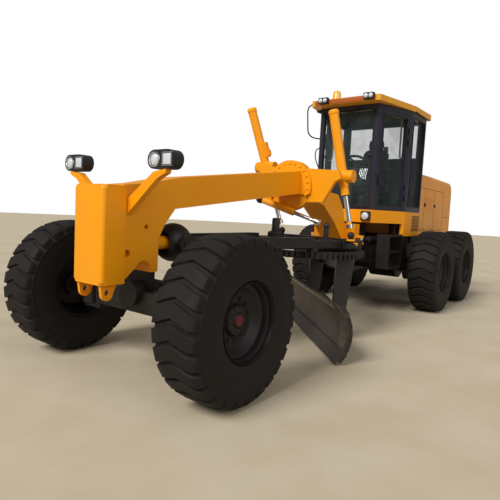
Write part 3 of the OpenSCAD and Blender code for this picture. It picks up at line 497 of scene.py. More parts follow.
def ringTree():
    tree = bpy.data.node_groups.new("repeatAroundY", "GeometryNodeTree")
    inputs = (("Geometry", "Geometry"), ("Piece", "Object"), ("Count", "Int"), ("Offset", "Float"),
              ("Finish", "Material"))
    for label, kind in inputs:
        tree.interface.new_socket(label, in_out="INPUT", socket_type="NodeSocket" + kind)
    tree.interface.new_socket("Geometry", in_out="OUTPUT", socket_type="NodeSocketGeometry")
    start = addNode(tree, "NodeGroupInput").outputs
    end = addNode(tree, "NodeGroupOutput")
    points = addNode(tree, "GeometryNodePoints")
    info = addNode(tree, "GeometryNodeObjectInfo")
    place = addNode(tree, "GeometryNodeInstanceOnPoints")
    index = addNode(tree, "GeometryNodeInputIndex")
    angle = mathNode(tree, "DIVIDE", 2 * math.pi, start["Count"])
    angle = mathNode(tree, "MULTIPLY", angle, index.outputs[0])
    angle = mathNode(tree, "ADD", angle, start["Offset"])
    spin = addNode(tree, "ShaderNodeCombineXYZ")
    real = addNode(tree, "GeometryNodeRealizeInstances")
    join = addNode(tree, "GeometryNodeJoinGeometry")
    paint = addNode(tree, "GeometryNodeSetMaterial")
    link = tree.links.new
    link(start["Count"], points.inputs["Count"])
    link(start["Piece"], info.inputs["Object"])
    link(points.outputs[0], place.inputs["Points"])
    link(info.outputs["Geometry"], place.inputs["Instance"])
    link(angle, spin.inputs["Y"])
    link(spin.outputs[0], place.inputs["Rotation"])
    link(place.outputs[0], real.inputs[0])
    link(start["Geometry"], join.inputs[0])
    link(real.outputs[0], join.inputs[0])
    link(join.outputs[0], paint.inputs["Geometry"])
    link(start["Finish"], paint.inputs["Material"])
    link(paint.outputs[0], end.inputs[0])
    return tree


aroundY = ringTree()
ringInputs = {s.name: s.identifier for s in aroundY.interface.items_tree if s.in_out == "INPUT"}


def repeatAround(baseMesh, pieceMesh, count, offset, finish):
    # the modifier goes with its object, and only the finished mesh is kept
    base, piece = newObject("base", baseMesh), newObject("repeated", pieceMesh)
    mod = base.modifiers.new("repeat", "NODES")
    mod.node_group = aroundY
    values = (("Piece", piece), ("Count", count), ("Offset", offset), ("Finish", finishes[finish]))
    for key, value in values:
        mod[ringInputs[key]] = value
    graph = bpy.context.evaluated_depsgraph_get()
    graph.update()
    mesh = bpy.data.meshes.new_from_object(base.evaluated_get(graph))
    bpy.data.objects.remove(base)
    bpy.data.objects.remove(piece)
    return mesh


def boltMesh(size):
    high = size * 0.9
    profile = [(0, high), (size * 0.55, high), (size * 0.6, high * 0.86), (size * 0.98, high * 0.8),
               (size, high * 0.35), (size * 1.35, high * 0.3), (size * 1.35, 0), (0, -0.001)]
    return meshFrom("bolt", lambda bm: turnedAbout(bm, profile, 6, Matrix()))


def boltRing(name, place, ring, count, size, finish, body):
    # bolts stand along Y in the node tree, and the ring is turned on to its face afterwards
    bolt = boltMesh(size)
    bolt.transform(shift(ring, 0, 0) @ turn(-90, "X"))
    mesh = repeatAround(bpy.data.meshes.new("ring"), bolt, count, 0.13, finish)
    mesh.transform(place @ turn(90, "X"))
    return addPiece(name, mesh, finish, body)


# tyres: a turned carcass with chevron lugs set round it

tyre = {
    "radius": 0.675,
    "width": 0.44,
    "beadRadius": 0.322,
    "lugHeight": 0.026,
    "lugCount": 28,
    "turns": 96,
    "axles": {"front": (3.81, 1.075), "mid": (-1.64, 1.09), "rear": (-3.178, 1.09)},
}
wheels = [(axle, word, side, shift(x, side * y, tyre["radius"]))
          for axle, (x, y) in tyre["axles"].items() for side, word in sides]


def tyreProfile(t):
    root = t["radius"] - t["lugHeight"]
    half = t["width"] / 2
    bead = t["beadRadius"]
    # (radius, half width) from the bead up the wall, over the shoulder and on to the tread
    side = [(bead, half - 0.032), (bead + 0.012, half - 0.018), (bead + 0.03, half - 0.016),
            (bead + 0.045, half - 0.012), (bead + 0.06, half - 0.01), (bead + 0.1, half - 0.003),
            (bead + 0.15, half), (bead + 0.2, half - 0.002), (root - 0.085, half - 0.008),
            (root - 0.08, half - 0.004), (root - 0.062, half - 0.004), (root - 0.055, half - 0.012),
            (root - 0.03, half - 0.026), (root - 0.008, half - 0.052), (root, half - 0.085),
            (root + 0.002, half - 0.14)]
    return side + [(root + 0.003, 0.0)] + [(r, -y) for r, y in reversed(side)]


def lugMesh(t):
    # a band across the whole tread, its point at the middle, running down on to both shoulders
    def build(bm):
        root, half, high = t["radius"] - t["lugHeight"] - 0.006, t["width"] / 2, t["radius"]
        # across, width, lead, foot radius, top radius
        side = [(0.06, 0.118, -0.012, root, high),
                (0.115, 0.116, -0.034, root, high - 0.001),
                (half - 0.05, 0.114, -0.052, root - 0.008, high - 0.007),
                (half - 0.02, 0.11, -0.06, root - 0.04, high - 0.028),
                (half - 0.009, 0.1, -0.062, root - 0.075, high - 0.06),
                (half - 0.012, 0.09, -0.062, root - 0.1, root - 0.072)]
        rows = [(-y, *rest) for y, *rest in reversed(side)] + [(0.0, 0.112, 0.006, root, high)] + side
        rings = []
        for y, wide, lead, foot, top in rows:
            flank = [(wide / 2 + 0.005, foot), (wide / 2 - 0.001, top - 0.005), (wide / 2 - 0.006, top)]
            ring = []
            for dx, r in [(-dx, r) for dx, r in flank] + flank[::-1]:
                a = (lead + dx) / t["radius"]
                ring.append(bm.verts.new((r * math.cos(a), y, r * math.sin(a))))
            rings.append(ring)
        for a, b in zip(rings, rings[1:]):
            for j in range(6):
                k = (j + 1) % 6
                bm.faces.new((a[j], a[k], b[k], b[j]))
        bm.faces.new(rings[0])
        bm.faces.new(rings[-1])
    return meshFrom("lug", build)


def placed(mesh, matrix):
    copy = mesh.copy()
    copy.transform(matrix)
    return copy


def makeTyres(t):
    carcass = meshFrom("carcass", lambda bm: turnedAbout(bm, tyreProfile(t), t["turns"], turn(90, "X")))
    mesh = repeatAround(carcass, lugMesh(t), t["lugCount"], 0.0, "rubber")
    for axle, word, side, centre in wheels:
        name = f"tyre_{axle}_{word}"
        piece = addPiece(name + "_tread", placed(mesh, centre), "rubber", f"{axle}_wheel_{word}", smooth=32)
        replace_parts(piece, name)


makeTyres(tyre)
print("stage: tyres")

# rims: turned dish, drop centre, hub flange, studs and cap

rim = {
    "bead": 0.318,
    "half": 0.205,
    "discOut": 0.035,
    "hubRadius": 0.125,
    "hubOut": 0.085,
    "studs": (0.17, 12, 0.015),
    "hubBolts": (0.092, 10, 0.009),
    "capRadius": 0.062,
    "cap": [(0, 0.016), (0.03, 0.0155), (0.048, 0.011), (0.055, 0.003), (0.055, -0.012), (0, -0.013)],
}


def rimProfile(r):
    bead, half, hub, cap = r["bead"], r["half"], r["hubRadius"], r["capRadius"]
    face, disc = r["hubOut"], r["discOut"]
    return [(0, face + 0.012), (cap * 0.8, face + 0.012), (cap, face + 0.004), (cap + 0.004, face - 0.004),
            (hub - 0.012, face - 0.008), (hub, face - 0.022), (hub + 0.004, disc + 0.004),
            (hub + 0.014, disc), (0.205, disc), (0.225, disc + 0.008), (0.262, disc + 0.055),
            (0.275, disc + 0.066), (bead - 0.028, disc + 0.07), (bead - 0.02, half - 0.06),
            (bead - 0.008, half - 0.045), (bead - 0.006, half - 0.014), (bead - 0.001, half - 0.004),
            (bead, half), (bead + 0.002, half - 0.004), (bead + 0.0015, -half + 0.004),
            (bead - 0.001, -half), (bead - 0.01, -half + 0.004), (bead - 0.018, -half + 0.05),
            (bead - 0.03, -half + 0.08), (bead - 0.035, disc + 0.045), (0.258, disc + 0.03),
            (0.22, disc - 0.02), (hub, disc - 0.02), (hub - 0.004, -0.038), (0.063, -0.04),
            (0.0615, 0.012), (0, 0.013)]


def makeRims(r):
    dish = meshFrom("dish", lambda bm: turnedAbout(bm, rimProfile(r), 72, Matrix()))
    for axle, word, side, centre in wheels:
        name, body = f"rim_{axle}_{word}", f"{axle}_wheel_{word}"
        out = centre @ facing((0, 0, 0), (0, side, 0))
        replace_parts(addPiece(name + "_dish", placed(dish, out), "rim", body, smooth=32), name)
        boltRing(name + "_studs", out @ shift(0, 0, r["discOut"]), *r["studs"], "rim", body)
        boltRing(name + "_hub", out @ shift(0, 0, r["hubOut"] - 0.008), *r["hubBolts"], "rim", body)
        turnedPiece(name + "_cap", [(r["cap"], out @ shift(0, 0, r["hubOut"]))], "hubRed", body)


makeRims(rim)
print("stage: rims")

# headlamps: bezels and lenses in the housings

lamp = {
    "x": 4.155,
    "y": 0.582,
    "z": 1.9,
    "offset": 0.075,
    "squareHalf": 0.043,
    "rimWide": 0.008,
    "lens": [(0, 0.03), (0.018, 0.0285), (0.034, 0.024), (0.046, 0.015), (0.05, 0.006), (0.05, 0.0),
             (0, -0.001)],
    "bezel": [(0.051, -0.001), (0.051, 0.016), (0.054, 0.022), (0.06, 0.021), (0.063, 0.016),
              (0.063, -0.001)],
}


def makeLamps(k):
    x, z, h = k["x"], k["z"], k["squareHalf"]

    def lenses(bm):
        for side, _ in sides:
            y = side * k["y"] - k["offset"]
            turnedAbout(bm, k["lens"], 32, facing((x - 0.02, y, z), (1, 0, 0)))
            y = side * k["y"] + k["offset"]
            blockAt(bm, (x - 0.016, y - h, z - h), (x + 0.006, y + h, z + h), 0.008)

    def bezels(bm):
        for side, _ in sides:
            y = side * k["y"] - k["offset"]
            turnedAbout(bm, k["bezel"], 32, facing((x - 0.018, y, z), (1, 0, 0)))
            begin = len(bm.verts)
            y = side * k["y"] + k["offset"]
            barLoop(bm, (-h - 0.003, -h - 0.003), (h + 0.003, h + 0.003), k["rimWide"], 0.024, 0.002)
            moveAll(bm, shift(x - 0.016, y, z) @ turn(-90, "Z"), begin)

    addPiece("headlamp_lenses", meshFrom("lenses", lenses), "lens", "front", smooth=40)
    addPiece("headlamp_bezels", meshFrom("bezels", bezels), "chrome", "front")


makeLamps(lamp)
print("stage: headlamps")

# bolts round the saddle

saddle = {
    "height": 1.9,
    "rearFace": 1.225,
    "frontFace": 1.345,
    "ring": 0.29,
    "count": 22,
    "size": 0.016,
    "clearBelow": 1.72,  # the centre cylinder swings past the front face below this, so no bolts stand there
}


def makeSaddleBolts(s):
    boltRing("bolts_saddleRear", facing((s["rearFace"], 0, s["height"]), (-1, 0, 0)), s["ring"], s["count"],
             s["size"], "paint", "front")
    bolt = boltMesh(s["size"])
    bm = bmesh.new()
    for i in range(s["count"]):
        a = 2 * math.pi * (i + 0.5) / s["count"]
        y, z = s["ring"] * math.cos(a), s["height"] + s["ring"] * math.sin(a)
        if z > s["clearBelow"]:
            bm.from_mesh(placed(bolt, facing((s["frontFace"], y, z), (1, 0, 0))))
    mesh = bpy.data.meshes.new("saddleBolts")
    bm.to_mesh(mesh)
    bm.free()
    addPiece("bolts_saddleFront", mesh, "paint", "front")


makeSaddleBolts(saddle)
print("stage: saddle bolts")

# cab: seals round the panes, door fittings, wipers, mirror loops, lamps and roof

cab = {
    "front": -0.32,
    "mid": -1.1,
    "rear": -1.815,
    "frontHalf": 0.49,
    "half": 0.75,
    "sill": 1.65,
    "roof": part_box("roof")[0][2],
    "top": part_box("roof")[1][2],
    "proud": 0.0005,
    "post": 0.075,
    "handle": (((-0.052, 0.001, 2.02), (-0.012, 0.012, 2.2), 0.004),  # plate
               ((-0.044, 0.012, 2.05), (-0.02, 0.034, 2.17), 0.006)),  # paddle
    "rail": ((0.12, -0.062, 2.5), (0.12, -0.11, 2.56), (0.12, -0.115, 2.85), (0.12, -0.11, 3.12),
             (0.12, -0.062, 3.18)),
    "railRadius": 0.014,
}
doorLong = math.hypot(cab["frontHalf"] - cab["half"], cab["front"] - cab["mid"])


def onDoor(side):
    # along the slanted door from its hinge, standing out to the outside
    slant = math.atan2(cab["frontHalf"] - cab["half"], cab["front"] - cab["mid"])
    return mirrored(side) @ shift(cab["mid"], cab["half"], 0) @ Matrix.Rotation(slant, 4, "Z")


def makeCabTrim(c):
    post, proud = c["post"], c["proud"]
    rearLow, rearHigh = (c["rear"] + post, c["sill"] + 0.1), (c["mid"] - post, c["roof"] - 0.1)

    def seals(bm):
        barLoop(bm, (-0.415, c["sill"] + 0.06), (0.415, c["roof"] - 0.09), 0.022, 0.01)
        moveAll(bm, shift(c["front"] + proud, 0, 0) @ turn(-90, "Z"))
        for side, _ in sides:
            begin = len(bm.verts)
            barLoop(bm, rearLow, rearHigh, 0.02, 0.008)
            moveAll(bm, mirrored(side) @ shift(0, c["half"] + proud, 0), begin)

    addPiece("cab_seals", meshFrom("cabSeals", seals), "rubberTrim", "rear")
    for side, word in sides:
        def fittings(bm):
            low, high = post, doorLong - post
            barLoop(bm, (low + 0.064, c["sill"] + 0.09), (high - 0.064, c["roof"] - 0.145), 0.02, 0.008)
            for (x0, y0, z0), (x1, y1, z1), bevel in c["handle"]:
                blockAt(bm, (high + x0, y0, z0), (high + x1, y1, z1), bevel)
            moveAll(bm, onDoor(side) @ shift(0, proud, 0))
        addPiece(f"door_trim_{word}", meshFrom("doorTrim", fittings), "rubberTrim", f"door_{word}")
        rail = [onDoor(side) @ Vector(p) for p in c["rail"]]
        tubePiece(f"door_rail_{word}", [rail], c["railRadius"], "paleSteel", f"door_{word}", 6, 12)


makeCabTrim(cab)

wiper = {
    "pivots": ((-0.309, 0.19, 3.19), (-0.309, 0.13, 3.19)),
    "boss": [(0, 0.03), (0.014, 0.03), (0.018, 0.02), (0.02, 0), (0, -0.001)],
    "arm": ((0.022, 0, 0), (0.036, -0.125, -0.11), (0.03, -0.25, -0.22)),
    "armRadius": 0.006,
    "blade": ((-0.3, 0.08, 3.16), (-0.296, -0.11, 2.98), (-0.3, -0.3, 2.8)),
    "bladeRadius": 0.009,
    "sides": 8,
}


def makeWipers(w):
    def build(bm):
        for place in w["pivots"]:
            turnedAbout(bm, w["boss"], 16, facing(place, (1, 0, 0)))
            tubeOn(bm, [Vector(place) + Vector(p) for p in w["arm"]], w["armRadius"], w["sides"])
        tubeOn(bm, [Vector(p) for p in w["blade"]], w["bladeRadius"], w["sides"])
    addPiece("wipers", meshFrom("wipers", build), "rubberTrim", "rear")


makeWipers(wiper)

# round fixings that hold the panes
fixing = {
    "button": [(0, 0.008), (0.013, 0.007), (0.018, 0.003), (0.018, -0.004), (0, -0.005)],
    "front": ((0.385, 3.06), (-0.385, 3.06), (0.385, 2.49), (-0.385, 2.49), (0.23, 3.12), (0.385, 1.86),
              (-0.385, 1.86)),
    "frontX": -0.327,
    "doorAlong": (0.18, 0.64),
    "doorHeights": (3.0, 2.42, 1.85),
    "doorOut": -0.031,
}


def makePaneFixings(f):
    spots = [facing((f["frontX"], y, z), (1, 0, 0)) for y, z in f["front"]]
    turnedPiece("pane_fixings", [(f["button"], spot) for spot in spots], "plastic", "rear")
    for side, word in sides:
        spots = [facing((x, f["doorOut"], z), (0, 1, 0)) for x in f["doorAlong"] for z in f["doorHeights"]]
        rows = [(f["button"], onDoor(side) @ spot) for spot in spots]
        turnedPiece(f"door_fixings_{word}", rows, "plastic", f"door_{word}")


makePaneFixings(fixing)

# (across, height) points of the two bent tubes on the right windscreen post, and their radius
mirrorX = -0.33
mirrorLoops = {
    "mirrorUpper": (((-0.496, 3.363), (-0.6, 3.364), (-0.681, 3.349), (-0.735, 3.31), (-0.752, 3.24),
                     (-0.742, 3.1), (-0.729, 2.942), (-0.7, 2.87), (-0.644, 2.822), (-0.56, 2.795),
                     (-0.48, 2.781)), 0.011),
    "mirrorLower": (((-0.48, 2.63), (-0.545, 2.604), (-0.56, 2.5), (-0.52, 2.38), (-0.48, 2.3)), 0.009),
}
for name, (points, radius) in mirrorLoops.items():
    tubePiece(name, [[(mirrorX, y, z) for y, z in points]], radius, "rubberTrim", "rear", 8)

cabLamp = {
    "names": ("floorBand", "floorBandRight"),
    "place": (-0.318, 0.403, 1.553),
    "deep": 0.05,
    "half": 0.075,
    "lens": [(0, 0.022), (0.03, 0.018), (0.05, 0.008), (0.056, 0.0), (0, -0.001)],
    "rim": [(0.056, -0.001), (0.057, 0.009), (0.063, 0.008), (0.065, -0.001)],
    "roofLens": [(0, 0.016), (0.02, 0.013), (0.032, 0.004), (0.034, -0.001), (0, -0.001)],
    "roofX": -0.04,
    "roofRise": 0.06,
    "roofPairs": (-0.33, 0.42),
    "roofApart": 0.038,
    "beacon": (-0.42, -0.28),
    "dome": [(0, 0.17), (0.03, 0.167), (0.052, 0.152), (0.064, 0.12), (0.066, 0.05), (0.07, 0.04),
             (0.0701, 0.0), (0, -0.0005)],
}


def makeCabLamps(k):
    x, out, z = k["place"]
    for key, (side, _) in zip(k["names"], sides):
        y, half = side * out, k["half"]
        box = ((x, y - half, z - half), (x + k["deep"], y + half, z + half))
        face = facing((x + k["deep"], y, z), (1, 0, 0))
        blocksPiece(key + "_housing", [box], "plastic", "rear", 0.012)
        turnedPiece(key + "_lens", [(k["lens"], face)], "lens", "rear")
        turnedPiece(key + "_rim", [(k["rim"], face)], "chrome", "rear")
    height = cab["roof"] + k["roofRise"]
    spots = [(k["roofX"], y + dy, height) for y in k["roofPairs"] for dy in (-k["roofApart"], k["roofApart"])]
    turnedPiece("roof_lamp_lenses", [(k["roofLens"], facing(p, (1, 0, 0))) for p in spots], "lens", "rear")
    base = shift(*k["beacon"], cab["top"] + cab["proud"])
    turnedPiece("beacon_dome", [(k["dome"], base)], "beacon", "rear")


makeCabLamps(cabLamp)

roofTrim = {
    "fascia": [((-0.122, -0.5, cab["roof"] + 0.01), (-0.112, 0.5, cab["roof"] + 0.08))],
    "ribs": [((-0.5 - 0.26 * i, -0.4 - 0.03 * i, cab["top"] - 0.002),
              (-0.44 - 0.26 * i, 0.4 + 0.03 * i, cab["top"] + 0.012)) for i in range(5)],
    "gutter": [((-1.92, side * 0.77 - 0.008, cab["roof"] - 0.005),
                (-1.15, side * 0.77 + 0.008, cab["roof"] + 0.01)) for side, _ in sides],
}
# a thin dark sheet on the roof's front face: painted shade under its overhang
blocksPiece("roof_fascia", roofTrim["fascia"], "shadedFasciaPaint", "rear")
blocksPiece("roof_ribs", roofTrim["ribs"], "roofPaint", "rear", 0.006)
blocksPiece("roof_gutter", roofTrim["gutter"], "rubberTrim", "rear")
print("stage: cab outside")

# seat: three crowned pads with sewn channels, arms, base and bellows

seat = {
    "pads": {  # middle, size
        "seat_pan": ((-1.27, 0.0, 2.1), (0.5, 0.5, 0.15)),
        "seat_back": ((-1.52, 0.0, 2.45), (0.13, 0.48, 0.6)),
        "seat_head": ((-1.53, 0.0, 2.815), (0.09, 0.27, 0.2)),
    },
    "cells": 15,
    "pull": 0.05,
    "round": 0.16,
    "crown": 0.14,
    "channel": 0.12,
    "channelDeep": 0.06,
    "base": [((-1.5, -0.22, 1.97), (-1.04, 0.22, 2.035)), ((-1.43, -0.15, 1.6505), (-1.13, 0.15, 1.7)),
             ((-1.4, -0.12, 1.7), (-1.16, 0.12, 1.975)), ((-1.555, -0.1, 2.66), (-1.515, -0.06, 2.76)),
             ((-1.555, 0.06, 2.66), (-1.515, 0.1, 2.76)), ((-1.56, -0.17, 2.03), (-1.5, 0.17, 2.2))],
    "arms": [((-1.46, 0.255, 2.34), (-1.14, 0.325, 2.39)), ((-1.47, 0.27, 2.0), (-1.41, 0.31, 2.35)),
             ((-1.5, 0.13, 1.99), (-1.41, 0.31, 2.03))],
    "folds": 10,
}


def padMesh(s, size):
    # a closed pad: crowned faces, edges drawn in between the corners, three sewn channels
    thin = min(range(3), key=lambda n: size[n])

    def build(bm):
        bmesh.ops.create_cube(bm, size=1)
        bmesh.ops.subdivide_edges(bm, edges=bm.edges[:], cuts=s["cells"], use_grid_fill=True)
        for v in bm.verts:
            p = [2 * c for c in v.co]
            q = [abs(c) ** 6 for c in p]
            out = []
            for i in range(3):
                j, k = (i + 1) % 3, (i + 2) % 3
                drawn = s["pull"] * ((1 - p[j] ** 2) * q[k] + (1 - p[k] ** 2) * q[j])
                squeeze = 1 - drawn - s["round"] * q[j] * q[k]
                crown = 1 - s["crown"] * (p[j] ** 2 + p[k] ** 2) * q[i]
                out.append(p[i] * squeeze * crown * 0.5)
            across = abs(p[1])
            nearest = min(across, abs(across - 0.5))
            out[thin] *= 1 - s["channelDeep"] * (1 - min(1, nearest / s["channel"]))
            v.co = Vector(out[i] * size[i] for i in range(3))
    return meshFrom("pad", build)


def mirroredBlocks(rows):
    return [((x0, min(side * y0, side * y1), z0), (x1, max(side * y0, side * y1), z1))
            for side, _ in sides for (x0, y0, z0), (x1, y1, z1) in rows]


def makeSeat(s):
    for key, (place, size) in s["pads"].items():
        mesh = padMesh(s, size)
        mesh.transform(shift(*place))
        pad = addPiece(key + "_cushion", mesh, "seat", "rear", smooth=180)
        if key == "seat_pan":
            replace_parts(pad, "seat")
    blocksPiece("seat_arms", mirroredBlocks(s["arms"]), "plastic", "rear", 0.012)
    blocksPiece("seat_base", s["base"], "plastic", "rear", 0.01)
    folds = []
    for i in range(s["folds"]):
        out, low = 0.012 * (i % 2), 1.72 + 0.024 * i
        folds.append(((-1.385, -0.105 - out, low), (-1.175, 0.105 + out, low + 0.02)))
    blocksPiece("seat_bellows", folds, "rubberTrim", "rear", 0.006)


makeSeat(seat)

# cab inside: lining, levers, dashboard and pedals

inside = {
    "lining": [
        ((-1.74, -0.66, 1.6505), (-1.1, 0.66, 1.664)),  # floor mat
        ((-1.1, -0.42, 1.6505), (-0.4, 0.42, 1.664)),  # floor mat in front
        ((-1.75, -0.66, 1.67), (-1.735, 0.66, 2.58)),  # rear wall
        ((-1.7, -0.66, 1.665), (-1.16, -0.4, 2.15)),  # side console
        ((-1.7, 0.42, 1.665), (-1.3, 0.66, 2.0)),  # box on the left
        ((-1.74, -0.64, cab["roof"] - 0.02), (-0.42, 0.44, cab["roof"] - 0.005)),  # under the roof
    ],
    "dashboard": [((-0.66, -0.26, 2.02), (-0.44, 0.26, 2.13)), ((-0.52, -0.16, 2.13), (-0.44, 0.16, 2.3)),
                  ((-0.6, -0.09, 1.66), (-0.46, 0.09, 2.03))],
    "pedals": [((-0.56, y - 0.05, 1.72), (-0.53, y + 0.05, 1.86)) for y in (-0.2, 0.2, 0.34)],
    "leverRows": [side * (0.07 + 0.028 * i) for i in range(6) for side, _ in sides],
    "leverSpread": ((-0.62, 1, 2.12), (-0.66, 1.02, 2.24), (-0.69, 1.04, 2.33)),
    "knob": [(0, 0.036), (0.012, 0.032), (0.016, 0.018), (0.012, 0.004), (0, -0.001)],
}


def makeInside(c):
    blocksPiece("cab_lining", c["lining"], "linerBlack", "rear", 0.006)
    levers = [[(x, y * wide, z) for x, wide, z in c["leverSpread"]] for y in c["leverRows"]]
    tubePiece("control_levers", levers, 0.006, "chrome", "rear", 3, 8)
    knobs = [(c["knob"], shift(x, y, z - 0.005)) for x, y, z in (lever[-1] for lever in levers)]
    turnedPiece("lever_knobs", knobs, "rubberTrim", "rear", 60, 12)
    blocksPiece("dashboard", c["dashboard"], "plastic", "rear", 0.012)
    blocksPiece("pedals", c["pedals"], "rubberTrim", "rear", 0.006)


makeInside(inside)
print("stage: cab inside")

# lift cylinders: end caps, glands, ports and pipes, painted sockets, lock valve

lifts = {
    "left": {"ball": (1.0945, 0.8159, 1.29), "collar": (1.145, 0.673, 2.029), "span": 0.754},
    "right": {"ball": (0.9736, -0.2975, 1.29), "collar": (1.145, -0.509, 2.163), "span": 0.915},
}
liftParts = {
    "foot": 0.515,
    "over": 0.84,
    "radius": 0.06,
    "cap": [(0, -0.05), (0.056, -0.05), (0.064, -0.048), (0.066, -0.04), (0.066, -0.012), (0.062, -0.004),
            (0.054, 0.006), (0, 0.008)],
    "gland": [(0.026, -0.012), (0.03, -0.013), (0.046, -0.01), (0.05, -0.004), (0.05, 0.004), (0.03, 0.006)],
    "socket": [(0.026, 0.172), (0.03, 0.17), (0.031, 0.165), (0.031, 0.115), (0.026, 0.112)],
    "portBlock": (0.04, 0.06, 0.04),
    "portOut": -0.07,
    "pipeRadius": 0.009,
    "valve": [((-0.012, -0.034, 0.13), (0.045, 0.034, 0.34), 0.01),
              ((0.045, -0.022, 0.15), (0.07, 0.022, 0.23), 0.008)],
}


def makeLift(word, c, b):
    barrel = f"lift_barrel_{word}"
    place = facing(c["ball"], Vector(c["collar"]) - Vector(c["ball"]))
    top, high, low = c["span"] + b["over"], c["span"] + b["over"] - 0.1, c["span"] + 0.2
    turnedPiece(f"lift_caps_{word}", [(b["cap"], place @ shift(0, 0, top))], "paint", barrel)
    turnedPiece(f"lift_gland_{word}", [(b["gland"], place @ shift(0, 0, b["foot"]))], "blackSteel", barrel)

    def ports(bm):
        half = Vector(b["portBlock"]) / 2
        for h in (high, low):
            middle = Vector((b["portOut"], 0, h))
            blockAt(bm, middle - half, middle + half)
        moveAll(bm, place)
    addPiece(f"lift_ports_{word}", meshFrom("liftPorts", ports), "blackSteel", barrel)
    route = ((-0.075, high), (-0.098, high - 0.03), (-0.1, high - 0.1), (-0.1, low + 0.14),
             (-0.098, low + 0.04), (-0.075, low))
    pipe = [place @ Vector((x, 0, h)) for x, h in route]
    tubePiece(f"lift_pipe_{word}", [pipe], b["pipeRadius"], "blackSteel", barrel, 4)
    turnedPiece(f"lift_socket_{word}", [(b["socket"], place)], "paint", f"lift_rod_{word}")


for word, c in lifts.items():
    makeLift(word, c, liftParts)


def makeLockValve(c, b):
    # a painted valve block on the side of the right barrel, above the collar
    up = (Vector(c["collar"]) - Vector(c["ball"])).normalized()
    side = (Vector((0, 1, 0)) - up * up.y).normalized()
    place = shift(*c["ball"]) @ Matrix((side, up.cross(side), up)).transposed().to_4x4()

    def build(bm):
        for low, high, bevel in b["valve"]:
            blockAt(bm, low, high, bevel)
        moveAll(bm, place @ shift(b["radius"], 0, c["span"]))
    addPiece("lift_lock_valve", meshFrom("lockValve", build), "paint", "lift_barrel_right")


makeLockValve(lifts["right"], liftParts)
print("stage: lift cylinders")

# hood: seams, handles, hinges and louvres, and the vents in the skirt under the cab

hood = {
    "half": 0.6,
    "back": -4.47,
    "front": -1.875,
    "doors": (-3.865, -3.21, -2.56),
    "doorLow": 1.33,
    "doorHigh": 2.13,
    "seam": 1.61,
    "handles": (-3.239, -2.6, -2.0),
    "hinges": (-3.77, -3.3, -3.12, -2.65, -2.47, -2.06),
    "slats": 9,
    "skirtHalf": 0.749,
}


def makeHoodTrim(c):
    low, high, start, end = c["doorLow"], c["doorHigh"], c["doors"][0], c["front"] - 0.1
    # each row: first and last x, lowest and highest z
    seams = [(x - 0.0035, x + 0.0035, low, high) for x in c["doors"]]
    seams += [(c["back"] + 0.09, start, c["seam"] - 0.003, c["seam"] + 0.003),
              (start, end, high - 0.003, high + 0.003), (start, end, low - 0.003, low + 0.003)]
    handles = [(x - 0.045, x + 0.045, 1.79, 1.85) for x in c["handles"]]
    hinges = [(x - 0.035, x + 0.035, 1.345, 1.372) for x in c["hinges"]]
    louvres = [(-3.13, -2.64, 1.96 - 0.034 * i, 1.972 - 0.034 * i) for i in range(c["slats"])]
    skirt = [(-1.82, -1.43, 1.335, 1.345), (-1.82, -1.43, 1.58, 1.59)]
    skirt += [(-1.81, -1.44, 1.355 + 0.025 * i, 1.367 + 0.025 * i) for i in range(c["slats"])]
    half = c["half"]
    rows = (
        ("hood_seams", seams, half - 0.002, half + 0.0018, "linerBlack", 0.0008),
        ("hood_handles", handles, half, half + 0.012, "rubberTrim", 0.005),
        ("hood_hinges", hinges, half, half + 0.014, "hoodPaint", 0.004),
        ("hood_louvres", louvres, half - 0.001, half + 0.009, "hoodPaint", 0.003),
        ("skirt_vents", skirt, c["skirtHalf"], c["skirtHalf"] + 0.008, "rubberTrim", 0.002),
    )
    for name, parts, inner, outer, finish, bevel in rows:
        blocks = [((x0, inner, z0), (x1, outer, z1)) for x0, x1, z0, z1 in parts]
        blocksPiece(name, mirroredBlocks(blocks), finish, "rear", bevel)


makeHoodTrim(hood)
print("stage: hood trim")

# tanks under the cab, with straps and filler caps

tank = {
    "boxes": [((-1.42, 0.46, 0.68), (-1.03, 0.72, 1.22))],
    "straps": [((x - 0.02, 0.459, 0.675), (x + 0.02, 0.725, 1.225)) for x in (-1.34, -1.11)],
    "cap": [(0, 0.035), (0.04, 0.034), (0.046, 0.028), (0.046, 0.012), (0.034, 0.01), (0.034, -0.001),
            (0, -0.001)],
    "capPlaces": [(-1.22, side * 0.6, 1.22) for side, _ in sides],
}
blocksPiece("tank_boxes", mirroredBlocks(tank["boxes"]), "blackSteel", "rear", 0.03)
blocksPiece("tank_straps", mirroredBlocks(tank["straps"]), "blackSteel", "rear", 0.003)
turnedPiece("tank_caps", [(tank["cap"], shift(*p)) for p in tank["capPlaces"]], "plastic", "rear")
print("stage: tanks")

# blade: top strip with its holes, end bits, and ribs behind

blade = {
    "turned": -46,
    "shift": -0.264,
    "half": 1.83,
    "arcX": 0.3432,
    "arcZ": 0.325,
    "inner": 0.413,
    "outer": 0.435,
    "carrierHalf": 1.06,
    "ribs": 9,
    "holes": 14,
    "holeAngle": 38.5,
    "hole": [(0, 0.0006), (0.011, 0.0004), (0.014, -0.002), (0, -0.003)],
}


def curvedBand(bm, angles, radii, across, steps=8):
    # a band on the blade's curve between two angles, two radii and two places across
    (first, last), (low, high), (y0, y1) = angles, radii, sorted(across)
    rows = []
    for i in range(steps + 1):
        a = math.radians(first + (last - first) * i / steps)
        rows.append([bm.verts.new((blade["arcX"] - r * math.cos(a), y, blade["arcZ"] + r * math.sin(a)))
                     for r, y in ((low, y0), (high, y0), (high, y1), (low, y1))])
    for a, b in zip(rows, rows[1:]):
        for j in range(4):
            k = (j + 1) % 4
            bm.faces.new((a[j], a[k], b[k], b[j]))
    bm.faces.new(rows[0])
    bm.faces.new(rows[-1])


